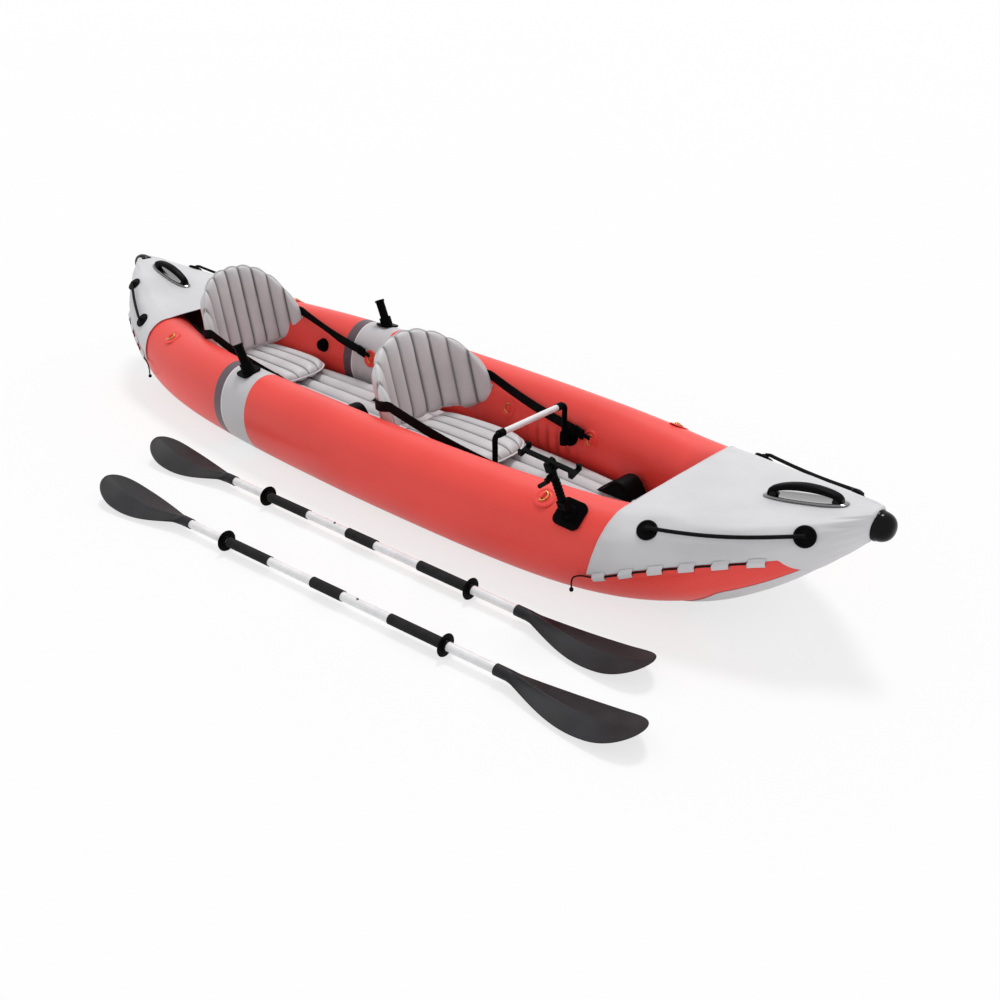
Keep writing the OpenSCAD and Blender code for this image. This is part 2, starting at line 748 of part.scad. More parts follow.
// spoon blade along +X: round at the neck, broadest two thirds along, with a lifted round end
module blade() {
    n = 16;
    neck = 30;
    body = blade_l - neck;
    broad = 0.67;
    function half(s) = s < broad ? 18.5 + (blade_w / 2 - 18.5) * pow(sin(90 * s / broad), 1.1)
        : blade_w / 2 * sqrt(1 - pow((s - broad) / (1 - broad), 2.4));
    function height(s, y) = 24 * pow(max(0, s - 0.7) / 0.3, 2) - 23.5 * sin(209 * pow(s, 1.15))
        + 8 * (pow(half(s), 1.2) - pow(abs(y), 1.2)) / pow(blade_w / 2, 1.2);
    stem = [for (x = [-14, 10, 24]) [for (k = [0:n - 1]) let (a = 360 * k / n)
        [socket + x, (x < 20 ? 18 : 18.5) * cos(a), (x < 20 ? 18 : 15) * sin(a)]]];
    leaf = [for (i = [0:14]) let (
        s = 0.03 + 0.967 * sin(90 * i / 14),
        t = 3 + 7 * pow(1 - s, 2)
    ) [for (k = [0:n - 1]) let (
        a = 360 * k / n,
        y = half(s) * cos(a)
    ) [socket + neck + body * s, y, height(s, y) + t * sin(a)]]];
    difference() {
        loft(concat(stem, leaf));
        translate([socket - 40, 0, 0]) rotate([0, 90, 0]) cylinder(h = 46, r = shaft_d / 2 + 0.3);
    }
}

module shaft_tube(x0, x1) {
    translate([x0, 0, 0]) rotate([0, 90, 0]) difference() {
        cylinder(h = x1 - x0, r = shaft_d / 2);
        translate([0, 0, -1]) cylinder(h = x1 - x0 + 2, r = shaft_d / 2 - 1.6);
    }
}

module grip(x0) {
    translate([x0, 0, 0]) rotate([0, 90, 0]) difference() {
        cylinder(h = grip_l, r = shaft_d / 2 + 2.4);
        translate([0, 0, -1]) cylinder(h = grip_l + 2, r = shaft_d / 2 + 0.2);
    }
}

module drip_ring(x0) {
    translate([x0, 0, 0]) rotate([0, 90, 0]) rotate_extrude() polygon([
        [shaft_d / 2 + 0.2, -11], [shaft_d / 2 + 5, -11], [shaft_d / 2 + 7, -3], [ring_d / 2 - 1, -2],
        [ring_d / 2, 0], [ring_d / 2 - 1, 2], [shaft_d / 2 + 7, 3], [shaft_d / 2 + 5, 11], [shaft_d / 2 + 0.2, 11]
    ]);
}

button_at = sleeve_l / 2 + 66;
button_turn = 81;

// half a: plain tube with the button's hole, over half b's ferrule
module shaft_a(i) {
    color(silver) at_paddle(i) difference() {
        shaft_tube(-socket, -1);
        translate([-button_at, 0, 0]) cylinder(h = 40, r = 4.2);
    }
}

// half b: tube with a narrower ferrule that runs into half a, slotted so that the button lets it turn
module shaft_b(i) {
    color(silver) at_paddle(i) difference() {
        union() {
            shaft_tube(-0.5, socket);
            translate([-170, 0, 0]) rotate([0, 90, 0]) difference() {
                cylinder(h = 210, r = shaft_d / 2 - 1.6 - 0.35);
                translate([0, 0, -1]) cylinder(h = 220, r = shaft_d / 2 - 4);
            }
            translate([1, 0, 0]) rotate([0, 90, 0]) difference() {
                cylinder(h = 30, r = shaft_d / 2 - 1);
                translate([0, 0, -1]) cylinder(h = 40, r = shaft_d / 2 - 4);
            }
        }
        translate([-button_at - 4.2, 0, 0]) rotate([0, 90, 0]) rotate([0, 0, 180 - button_turn])
            rotate_extrude(angle = 2 * button_turn) translate([shaft_d / 2 - 6, 0]) square([8, 8.4]);
    }
}

// sleeve fixed round half b at the joint
module paddle_sleeve(i) {
    color(black) at_paddle(i) translate([-sleeve_l / 2, 0, 0]) rotate([0, 90, 0]) difference() {
        cylinder(h = sleeve_l, r = shaft_d / 2 + 3);
        translate([0, 0, -1]) cylinder(h = sleeve_l + 2, r = shaft_d / 2 + 0.4);
    }
}

module snap_button(i) {
    color(brass) at_paddle(i) translate([-button_at, 0, 0]) {
        cylinder(h = shaft_d / 2 + 3, r = 3.5);
        translate([0, 0, 4]) cylinder(h = 5, r = 5.2);
    }
}

module near_shaft_a() { shaft_a(0); }
module near_shaft_b() { shaft_b(0); }
module near_sleeve() { paddle_sleeve(0); }
module near_button() { snap_button(0); }
module near_grip_a() { color(black) at_paddle(0) grip(-drip_at + 14); }
module near_grip_b() { color(black) at_paddle(0) grip(drip_at - 14 - grip_l); }
module near_ring_a() { color(black) at_paddle(0) drip_ring(-drip_at); }
module near_ring_b() { color(black) at_paddle(0) drip_ring(drip_at); }
module near_blade_a() { color(black) at_paddle(0) rotate([0, 0, 180]) blade(); }
module near_blade_b() { color(black) at_paddle(0) blade(); }
module far_shaft_a() { shaft_a(1); }
module far_shaft_b() { shaft_b(1); }
module far_sleeve() { paddle_sleeve(1); }
module far_button() { snap_button(1); }
module far_grip_a() { color(black) at_paddle(1) grip(-drip_at + 14); }
module far_grip_b() { color(black) at_paddle(1) grip(drip_at - 14 - grip_l); }
module far_ring_a() { color(black) at_paddle(1) drip_ring(-drip_at); }
module far_ring_b() { color(black) at_paddle(1) drip_ring(drip_at); }
module far_blade_a() { color(black) at_paddle(1) rotate([0, 0, 180]) blade(); }
module far_blade_b() { color(black) at_paddle(1) blade(); }

starboard_tube();
port_tube();
floor_mat();
bottom_skin();
bow_cover();
stern_cover();
keel_patches();
nose_caps();
carry_handles();
grab_buttons();
grab_lines();
hull_lace_tabs();
cover_lace_tabs();
lace_cords();
rod_bases();
rod_tubes();
ring_patches();
d_rings();
valve_bases();
port_valve_cap();
starboard_valve_cap();
front_footrests();
rear_footrests();
front_cushion();
rear_cushion();
front_back();
rear_back();
front_straps();
rear_straps();
strap_buckles();
bracket_sockets();
bracket_legs();
bracket_bar();
arm_base();
arm_stem();
arm_link();
lock_lever();
rod_cradle();
near_shaft_a();
near_shaft_b();
near_sleeve();
near_button();
near_grip_a();
near_grip_b();
near_ring_a();
near_ring_b();
near_blade_a();
near_blade_b();
far_shaft_a();
far_shaft_b();
far_sleeve();
far_button();
far_grip_a();
far_grip_b();
far_ring_a();
far_ring_b();
far_blade_a();
far_blade_b();
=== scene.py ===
import math

import bpy
from mathutils import Matrix, Vector, noise


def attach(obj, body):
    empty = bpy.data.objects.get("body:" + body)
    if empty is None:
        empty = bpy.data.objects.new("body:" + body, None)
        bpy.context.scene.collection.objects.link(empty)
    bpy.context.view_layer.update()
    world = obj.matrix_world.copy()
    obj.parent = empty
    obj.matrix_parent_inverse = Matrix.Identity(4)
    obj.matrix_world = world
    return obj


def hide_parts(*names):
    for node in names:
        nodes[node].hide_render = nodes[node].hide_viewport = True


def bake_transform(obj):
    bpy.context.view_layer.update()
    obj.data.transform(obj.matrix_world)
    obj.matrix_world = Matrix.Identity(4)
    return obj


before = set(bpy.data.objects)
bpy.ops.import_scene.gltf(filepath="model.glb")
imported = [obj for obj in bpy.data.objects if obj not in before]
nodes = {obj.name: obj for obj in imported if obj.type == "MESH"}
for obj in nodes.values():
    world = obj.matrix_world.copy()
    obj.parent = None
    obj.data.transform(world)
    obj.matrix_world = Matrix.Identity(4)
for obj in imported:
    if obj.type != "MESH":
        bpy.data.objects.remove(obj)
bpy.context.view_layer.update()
scene = bpy.context.scene
scene.view_settings.view_transform = "Standard"
bpy.ops.object.select_all(action="DESELECT")

# Camera
# A 40 mm lens 1.9 m above the ground off the starboard bow, looking aft along the hull.
def axes_at(x_axis, y_axis, z_axis, origin):
    """Matrix that carries the origin's axes onto the given ones at the given place."""
    rows = zip(zip(x_axis, y_axis, z_axis), origin)
    return Matrix([(*axes, at) for axes, at in rows] + [(0, 0, 0, 1)])


camera = bpy.data.objects.new("camera", bpy.data.cameras.new("camera"))
camera.data.lens, camera.data.sensor_width = 40.37, 36.0
camera_right = Vector((0.73233, 0.68092, -0.00602))
camera_up = Vector((-0.31696, 0.34869, 0.88202))
camera_back = Vector((0.60268, -0.64402, 0.47118))
camera_spot = Vector((2.9651, -2.6969, 1.9376))
camera.matrix_world = axes_at(camera_right, camera_up, camera_back, camera_spot)
scene.collection.objects.link(camera)
scene.camera = camera

# Side tubes
# Two inflated tubes of coated fabric that meet at both noses, with a printed band aft of the middle.
# One grid each, wrapped into a tube along the hull's lines, with the slack of the skin put in.
tube_end, half_beam, half_gap = 1.878, 0.478, 0.228
side_sweep, nose_half, nose_power = 0.142, 0.038, 6.3
gap_end, gap_power = tube_end - 0.258, 3
tube_top, nose_rise, rise_run, rise_power = 0.320, 0.126, 0.8, 1.76
tube_low, keel_rise, keel_run, keel_power = -0.0012, 0.3712, 1.286, 3.94
fold_pitch, fold_x, fold_run, fold_depth = 0.052, 0.50, 0.17, 0.0065
aft_fold_x, aft_fold_run, aft_fold_share = -0.60, 0.12, 0.7
dent_depth, weld_x, weld_half, weld_depth = 0.0012, 1.008, 0.006, 0.0045


def ramp(x, start, stop):
    return min(1.0, max(0.0, (abs(x) - start) / (stop - start)))


def outer_y(x):
    t = abs(x) / tube_end
    return half_beam - side_sweep * t ** 2 - (half_beam - side_sweep - nose_half) * t ** nose_power


def inner_y(x):
    return max(0.001, half_gap * (1 - (abs(x) / gap_end) ** gap_power))


def top_z(x):
    return tube_top + nose_rise * ramp(x, tube_end - rise_run, tube_end) ** rise_power


def low_z(x):
    return tube_low + keel_rise * ramp(x, tube_end - keel_run, tube_end) ** keel_power


def on_tube(x, side, degrees, off=0.0):
    """Point on a tube: 0 degrees outboard, 90 on top, 180 inboard; side 1 is port."""
    a = math.radians(degrees)
    wide, tall = (outer_y(x) - inner_y(x)) / 2, (top_z(x) - low_z(x)) / 2
    return Vector((x, side * ((outer_y(x) + inner_y(x)) / 2 + (wide + off) * math.cos(a)),
                   max(0.0, (top_z(x) + low_z(x)) / 2 + (tall + off) * math.sin(a))))


def out_of_tube(x, side, degrees):
    round_it = on_tube(x, side, degrees + 0.5) - on_tube(x, side, degrees - 0.5)
    along = on_tube(x + 0.002, side, degrees) - on_tube(x - 0.002, side, degrees)
    return (side * round_it.cross(along)).normalized()


def bump(x, middle, width):
    t = abs(x - middle) / width
    return 0.0 if t >= 1 else (1 - t * t) ** 2


def slack(x, side, degrees):
    """How far the skin stands off its even shape: soft dents, folds on the inner walls, a weld."""
    off = dent_depth * noise.noise(Vector((x * 3.1, degrees / 47, side * 5)))
    folds = bump(x, fold_x, fold_run) + aft_fold_share * bump(x, aft_fold_x, aft_fold_run)
    wave = math.sin(x * 2 * math.pi / fold_pitch + 0.02 * degrees)
    off += fold_depth * folds * bump(degrees, 186, 26) * wave
    weld = x - weld_x - 0.026 * (max(0.0, degrees - 131) / 43.6) ** 2
    off -= weld_depth * math.exp(-(weld / weld_half) ** 2) * bump(degrees, 152, 50)
    return off


def shaped(name, along, across, place, thick=0.0, close=False):
    """A grid whose points are moved to place(u, v), merged, closed at its ends or given a thickness."""
    bpy.ops.mesh.primitive_grid_add(x_subdivisions=along, y_subdivisions=across, size=1.0)
    piece = bpy.context.object
    piece.name = piece.data.name = name
    for v in piece.data.vertices:
        v.co = place(v.co.x + 0.5, v.co.y + 0.5)
    bpy.ops.object.mode_set(mode="EDIT")
    bpy.ops.mesh.select_all(action="SELECT")
    bpy.ops.mesh.remove_doubles(threshold=0.00002)
    if close:
        bpy.ops.mesh.fill_holes(sides=0)
    bpy.ops.mesh.select_all(action="SELECT")
    bpy.ops.mesh.normals_make_consistent(inside=False)
    bpy.ops.object.mode_set(mode="OBJECT")
    if thick:
        solid = piece.modifiers.new("thickness", "SOLIDIFY")
        solid.thickness, solid.offset = thick, -1.0
        bpy.ops.object.modifier_apply(modifier=solid.name)
    bpy.ops.object.shade_smooth()
    return piece


def tone(r, g, b):
    return tuple(c / 255 / 12.92 if c < 11 else ((c / 255 + 0.055) / 1.055) ** 2.4
                 for c in (r, g, b)) + (1.0,)


def finish_of(name, dark, light, mottle, rough, grain, relief, metal=0.0, shine=0.5, depth=0.0006):
    """Material with clouded colour and roughness and a fine grain, all read from the piece's own place."""
    mat = bpy.data.materials.new(name)
    mat.use_nodes = True
    made, link = mat.node_tree.nodes, mat.node_tree.links.new
    shader = made["Principled BSDF"]
    shader.inputs["Metallic"].default_value = metal
    shader.inputs["Specular IOR Level"].default_value = shine
    spot = made.new("ShaderNodeTexCoord")
    cloud = made.new("ShaderNodeTexNoise")
    cloud.inputs["Scale"].default_value = mottle
    cloud.inputs["Detail"].default_value = 5.0
    link(spot.outputs["Object"], cloud.inputs["Vector"])
    tint = made.new("ShaderNodeValToRGB")
    tint.name = "tint"
    tint.color_ramp.elements[0].position, tint.color_ramp.elements[0].color = 0.32, tone(*dark)
    tint.color_ramp.elements[1].position, tint.color_ramp.elements[1].color = 0.68, tone(*light)
    link(cloud.outputs["Fac"], tint.inputs["Fac"])
    link(tint.outputs["Color"], shader.inputs["Base Color"])
    gloss = made.new("ShaderNodeMapRange")
    gloss.inputs["From Min"].default_value, gloss.inputs["From Max"].default_value = 0.3, 0.7
    gloss.inputs["To Min"].default_value = rough - 0.05
    gloss.inputs["To Max"].default_value = rough + 0.07
    link(cloud.outputs["Fac"], gloss.inputs["Value"])
    link(gloss.outputs["Result"], shader.inputs["Roughness"])
    fine = made.new("ShaderNodeTexNoise")
    fine.inputs["Scale"].default_value = grain
    link(spot.outputs["Object"], fine.inputs["Vector"])
    press = made.new("ShaderNodeBump")
    press.inputs["Strength"].default_value = relief
    press.inputs["Distance"].default_value = depth
    link(fine.outputs["Fac"], press.inputs["Height"])
    link(press.outputs["Normal"], shader.inputs["Normal"])
    return mat


def dress(piece, finish, slot, body, *replaced):
    piece.data.materials.clear()
    piece.data.materials.append(finish)
    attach(piece, body)
    if replaced:
        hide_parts(*replaced)
    return piece


def laid_over(mat, share, under, colour):
    """Lays a second colour, or a colour's socket, over a finish by a share; gives the result's socket."""
    mix = mat.node_tree.nodes.new("ShaderNodeMix")
    mix.data_type = "RGBA"
    mat.node_tree.links.new(share, mix.inputs["Factor"])
    mat.node_tree.links.new(under, mix.inputs[6])
    if isinstance(colour, tuple):
        mix.inputs[7].default_value = tone(*colour)
    else:
        mat.node_tree.links.new(colour, mix.inputs[7])
    return mix.outputs[2]


def point_share(mat, name):
    """Socket of a number that each point of the piece carries under a name."""
    number = mat.node_tree.nodes.new("ShaderNodeAttribute")
    number.attribute_name = name
    return number.outputs["Fac"]


hull_red = finish_of("hull_red", (242, 68, 60), (250, 78, 70), 2.2, 0.38, 620, 0.10, shine=0.4)
tube_red = finish_of("coated_red", (242, 68, 60), (250, 78, 70), 2.2, 0.38, 620, 0.10, shine=0.4)
band_from, band_to, band_stop = -0.8, -0.4, -0.475
band_colours = ((-0.690, (92, 76, 86)), (-0.641, (240, 226, 226)), (-0.635, (205, 203, 206)))
band_nodes, band_link = tube_red.node_tree.nodes, tube_red.node_tree.links.new
split = band_nodes.new("ShaderNodeSeparateXYZ")
band_link(band_nodes["Texture Coordinate"].outputs["Object"], split.inputs["Vector"])
span = band_nodes.new("ShaderNodeMapRange")
span.inputs["From Min"].default_value, span.inputs["From Max"].default_value = band_from, band_to
band_link(split.outputs["X"], span.inputs["Value"])
printed = band_nodes.new("ShaderNodeValToRGB")
printed.color_ramp.interpolation = "CONSTANT"
bare_aft, bare_fore = printed.color_ramp.elements
bare_aft.position, bare_aft.color = 0.0, (1, 1, 1, 0)
bare_fore.position, bare_fore.color = (band_stop - band_from) / (band_to - band_from), (1, 1, 1, 0)
for edge, colour in band_colours:
    printed.color_ramp.elements.new((edge - band_from) / (band_to - band_from)).color = tone(*colour)
band_link(span.outputs["Result"], printed.inputs["Fac"])
banded = laid_over(tube_red, printed.outputs["Alpha"], band_nodes["tint"].outputs["Color"],
                   printed.outputs["Color"])
# Painted shade: a dark red laid over the tubes' colour by each point's shade value.
painted_shade_laid = laid_over(tube_red, point_share(tube_red, "shade"), banded, (26, 12, 12))
band_link(painted_shade_laid, band_nodes["Principled BSDF"].inputs["Base Color"])

for tube_name, side in (("starboard", -1), ("port", 1)):
    tube = shaped(tube_name + "_side_tube", 300, 84, lambda u, v: on_tube(
        tube_end * (2 * u - 1), side, 360 * v, slack(tube_end * (2 * u - 1), side, (360 * v) % 360)),
        close=True)
    # Painted shade on the inner walls: darker towards both ends, where the covers shade them, and in the
    # valleys of the folds.
    shade = tube.data.attributes.new("shade", "FLOAT", "POINT")
    for v in tube.data.vertices:
        inboard = max(0.0, 1 - (abs(v.co.y) / ((outer_y(v.co.x) + inner_y(v.co.x)) / 2)) ** 4)
        folds = bump(v.co.x, fold_x, fold_run) * bump(v.co.z, 0.15, 0.09)
        folds *= max(0.0, -math.sin(v.co.x * 2 * math.pi / fold_pitch + 3.7))
        shade.data[v.index].value = inboard * (0.85 * ramp(v.co.x, 1.10, 1.34) + 0.6 * folds)
    dress(tube, tube_red, "hull_skin", "hull", tube_name + "_tube")

# Underside
# The bottom skin welded under the floor, and grey wear patches under both ends, one sheet each.
def finish_nodes(finish, *names):
    for name in names:
        nodes[name].data.materials.clear()
        nodes[name].data.materials.append(finish)


skin_dark = finish_of("bottom_skin", (30, 27, 29), (42, 38, 40), 6.0, 0.60, 500, 0.15, shine=0.2)
finish_nodes(skin_dark, "bottom_skin")
keel_aft, keel_l, keel_wrap, keel_flat = tube_end - 0.475, 0.390, 51, 0.4
keel_off, keel_swell, keel_t = 0.0022, 0.011, 0.0012
cover_grey = finish_of("cover_cloth", (210, 209, 212), (221, 220, 223), 5.0, 0.46, 900, 0.16, shine=0.4)


def keel_point(end, u, v):
    x = keel_aft + keel_l * u
    k = 2 * v - 1
    swell = keel_off + keel_swell * math.sin(math.pi * u) * (1 - k ** 4)
    if abs(k) > keel_flat:
        reach = keel_wrap * min(1.0, 0.15 + 2.2 * u)
        degrees = -90 + reach * (abs(k) - keel_flat) / (1 - keel_flat)
        spot = on_tube(x, 1 if k > 0 else -1, degrees, swell)
    else:
        spot = Vector((x, k / keel_flat * (outer_y(x) + inner_y(x)) / 2, low_z(x) - swell))
    return Vector((end * spot.x, spot.y, max(0.0, spot.z)))


for end, end_name in ((1, "bow"), (-1, "stern")):
    patch = shaped(end_name + "_keel_patch", 24, 60, lambda u, v: keel_point(end, u, v), keel_t)
    dress(patch, cover_grey, "cover_cloth", "hull", "keel_patches")

# Floor
# Inflated mat of six lengthwise chambers welded between two sheets, laid between the tubes.
floor_end, floor_base, floor_top, chambers = 1.088, 0.0049, 0.125, 6
floor_gap, floor_dip, top_share = 0.005, 0.024, 0.82


def floor_point(u, v):
    s = 2 * u - 1
    if abs(s) >= 0.9:
        s = math.copysign(0.9 + 0.1 * (1 - (1 - (abs(s) - 0.9) / 0.1) ** 2), s)
    x = floor_end * s
    w = min(half_gap, inner_y(x)) - floor_gap
    e = 0.45 + 0.55 * math.sqrt(max(0.0, 1 - ramp(x, floor_end - 0.09, floor_end) ** 2))
    base = low_z(x) + 0.0012 + floor_base
    if v < top_share:
        k = v / top_share
        y = w * (1 - 2 * k)
        z = floor_base + (floor_top - floor_base) * e
        z -= floor_dip * (1 - abs(math.sin(math.pi * chambers * k)) ** 0.62)
        z -= floor_dip * (abs(y) / w) ** 10
        z += 0.0012 * noise.noise(Vector((x * 7, y * 18, 3)))
        return Vector((x, y, z))
    k = (v - top_share) / (1 - top_share)
    return Vector((x, w * (2 * k - 1), base + 0.008 * abs(2 * k - 1) ** 6))


def seam_crease_shade(mat, colour):
    """Painted shade: darkens a finish along the welds, where the piece's own seam attribute says that a weld
    runs, for the shade in the seams' creases.
    """
    made = mat.node_tree.nodes
    darker = laid_over(mat, point_share(mat, "seam"), made["tint"].outputs["Color"], colour)
    mat.node_tree.links.new(darker, made["Principled BSDF"].inputs["Base Color"])


def mark_seams(piece, nearness):
    seam = piece.data.attributes.new("seam", "FLOAT", "POINT")
    for v in piece.data.vertices:
        seam.data[v.index].value = nearness(v.co)


# Strength of the painted seam shade on the floor's top.
def floor_seam(co):
    if co.z <= floor_top / 2:
        return 0.0
    k = (1 - co.y / (min(half_gap, inner_y(co.x)) - floor_gap)) / 2
    return 0.8 * math.exp(-(math.sin(math.pi * chambers * k) / 0.20) ** 2)


floor_grey = finish_of("floor_skin", (200, 199, 201), (212, 211, 213), 6.0, 0.46, 700, 0.14, shine=0.35)
# Painted shade along the floor's chamber seams.
seam_crease_shade(floor_grey, (124, 122, 125))
mat_piece = shaped("floor_mat_inflated", 170, 150, floor_point, close=True)
mark_seams(mat_piece, floor_seam)
dress(mat_piece, floor_grey, "floor_skin", "hull", "floor_mat")

# End covers
# Coated grey cloth pulled over the tube ends and the deck between them, hemmed at the cockpit edge.
skirt = [(0, -88), (0.093, -88), (0.133, -35), (0.178, 5), (0.228, 11), (0.278, 14.2), (0.360, 15.4),
         (0.448, 12.6), (0.540, 6), (0.673, -10)]
cover_off, deck_crown, side_share = 0.0053, 0.003, 0.4
cover_start = {1: tube_end - 0.673, -1: tube_end - 0.553}
edge_shift, corner_shift = {1: 0.010, -1: -0.025}, -0.026
skirt_drop, crest_x, crest_rise = 2.4, 1.33, {1: 0.008, -1: 0.0}
lace_step, cloth_t, hem_wide, hem_half = 0.086, 0.0016, 0.004, 0.0016


def skirt_ang(x):
    d = tube_end - abs(x)
    for (a, p), (b, q) in zip(skirt, skirt[1:]):
        if d <= b:
            return p + (q - p) * max(0.0, d - a) / (b - a)
    return skirt[-1][1]


def cover_point(end, u, v, off):
    """Point of a cover: u from the cockpit edge to the nose, v from the port skirt to the other."""
    t = min(1.0, v / side_share, (1 - v) / side_share)
    x = cover_start[end] + (tube_end - cover_start[end]) * u
    off -= 0.012 * bump(u, 1.0, 0.006)
    crest = crest_rise[end] * bump(x, crest_x, 0.13)
    x += (1 - u) * (edge_shift[end] * t * t + corner_shift * (1 - t) ** 3)
    if v < side_share or v > 1 - side_share:
        side = 1 if v < side_share else -1
        low = skirt_ang(x) - skirt_drop
        degrees = low + (90 - low) * t
        pucker = 0.0016 * noise.noise(Vector((x * 9, degrees / 13, side * 4)))
        pucker += 0.0030 * bump(x, tube_end - 0.05, 0.07) * abs(math.sin(degrees * 0.13 + x * 30))
        pucker += 0.0011 * bump(t, 0.02, 0.12) * math.sin((x - 1.232) * 2 * math.pi / lace_step)
        spot = on_tube(x, side, degrees, off + max(-0.0012, pucker) + crest * bump(degrees, 90, 28))
    else:
        k = 1 - 2 * (v - side_share) / (1 - 2 * side_share)
        z = top_z(x) + off + deck_crown * (1 - k * k) + crest * k * k
        z += 0.0016 * noise.noise(Vector((x * 9, k * 2, 1))) * (1 - abs(k) ** 4)
        spot = Vector((x, k * (outer_y(x) + inner_y(x)) / 2, z))
    spot.x += 0.004 * bump(u, 1.0, 0.02)
    return Vector((end * spot.x, spot.y, spot.z))


for end, end_name in ((1, "bow"), (-1, "stern")):
    cover = shaped(end_name + "_cover_cloth", 120, 150,
                   lambda u, v: cover_point(end, u, v, cover_off), cloth_t)
    dress(cover, cover_grey, "cover_cloth", "hull", end_name + "_cover")
    hem = shaped(end_name + "_cover_hem", 150, 10, lambda u, v: cover_point(
        end, hem_wide + hem_wide * math.cos(2 * math.pi * v), u,
        cover_off - 0.0003 + hem_half * math.sin(2 * math.pi * v)), close=True)
    dress(hem, cover_grey, "cover_cloth", "hull")

# Lacing
# A thin cord laced through red loops on the hull and grey loops on the cover's edge.
# The loops are folded strips; the cord ends in a bead that hangs at the cover's corner.
cord_black = finish_of("cord_black", (10, 10, 11), (24, 24, 26), 60, 0.62, 1500, 0.6, shine=0.06)
lace_first, lace_tabs = {1: tube_end - 0.656, -1: tube_end - 0.536}, {1: 6, -1: 4}
lace_r, lace_drop, lace_off, tab_half = 0.0026, 0.00995, 0.0084, 0.0212
bead_r, bead_half, bead_at = 0.007, 0.0078, (-0.060, 0.020, -0.059)
tab_t, tab_off, tab_fold, tab_fold_half = 0.0014, 0.0078, 0.0056, 0.007


def lace_at(end, x, side, drop=lace_drop, off=lace_off):
    half = (outer_y(x) - inner_y(x)) / 2
    spot = on_tube(x, side, skirt_ang(x) - math.degrees(drop / half), off)
    return Vector((end * spot.x, spot.y, spot.z))


def tube_curve(name, points, radius):
    line = bpy.data.curves.new(name, "CURVE")
    line.dimensions = "3D"
    line.bevel_depth, line.bevel_resolution, line.use_fill_caps = radius, 4, True
    spline = line.splines.new("POLY")
    spline.points.add(len(points) - 1)
    for p, co in zip(spline.points, points):
        p.co = (*co, 1.0)
    piece = bpy.data.objects.new(name, line)
    scene.collection.objects.link(piece)
    return piece


def smooth_line(points, steps):
    """Even points on a smooth curve through the given ones."""
    fine = []
    for i in range(len(points) - 1):
        a, b, c, d = (points[max(0, min(len(points) - 1, i + j))] for j in (-1, 0, 1, 2))
        for k in range(steps):
            t = k / steps
            fine.append(0.5 * (2 * b + (c - a) * t + (2 * a - 5 * b + 4 * c - d) * t * t
                               + (3 * b - a - 3 * c + d) * t ** 3))
    return fine + [points[-1]]


for end, end_name in ((1, "bow"), (-1, "stern")):
    for side, side_name in ((-1, "starboard"), (1, "port")):
        name = end_name + "_" + side_name
        x0 = lace_first[end] - 0.024
        corner = lace_at(end, x0, side)
        tail = [corner + Vector((end * a, side * b, c)) for a, b, c in
                ((-0.018, 0.005, -0.001), (-0.038, 0.012, -0.004), (-0.056, 0.018, -0.015),
                 (-0.061, 0.020, -0.034), (-0.060, 0.020, -0.0515))]
        run = [lace_at(end, x0 + 0.0215 * k, side) for k in range(4 * lace_tabs[end] - 2, -1, -1)]
        points = smooth_line(run + tail, 3)
        lace = tube_curve(name + "_lace", points, lace_r)
        bead = shaped(name + "_lace_bead", 16, 20, lambda u, v: corner + Vector((
            end * bead_at[0] + bead_r * math.sin(math.pi * u) * math.cos(2 * math.pi * v),
            side * bead_at[1] + bead_r * math.sin(math.pi * u) * math.sin(2 * math.pi * v),
            bead_at[2] + bead_half * math.cos(math.pi * u))))
        dress(lace, cord_black, "cord", "hull", "lace_cords")
        dress(bead, cord_black, "cord", "hull")
        for kind, count, first, finish, slot, node in (
                ("hull", lace_tabs[end] - 1, 0.5, hull_red, "hull_skin", "hull_lace_tabs"),
                ("cover", lace_tabs[end], 0.0, cover_grey, "cover_cloth", "cover_lace_tabs")):
            start, stop = (0.0125, 0.0290) if kind == "hull" else (-0.004, 0.0235)
            for k in range(count):
                x = lace_first[end] + lace_step * (k + first)

                def tab_point(u, v):
                    drop = start + (stop - start) * v
                    off = tab_off
                    if kind == "cover":
                        off += tab_fold * math.exp(-((drop - lace_drop) / tab_fold_half) ** 2)
                    return lace_at(end, x + tab_half * (2 * u - 1), side, drop, off)
                tab = shaped("%s_%s_loop_%d" % (name, kind, k + 1), 10, 18, tab_point, tab_t)
                dress(tab, finish, slot, "hull", node)

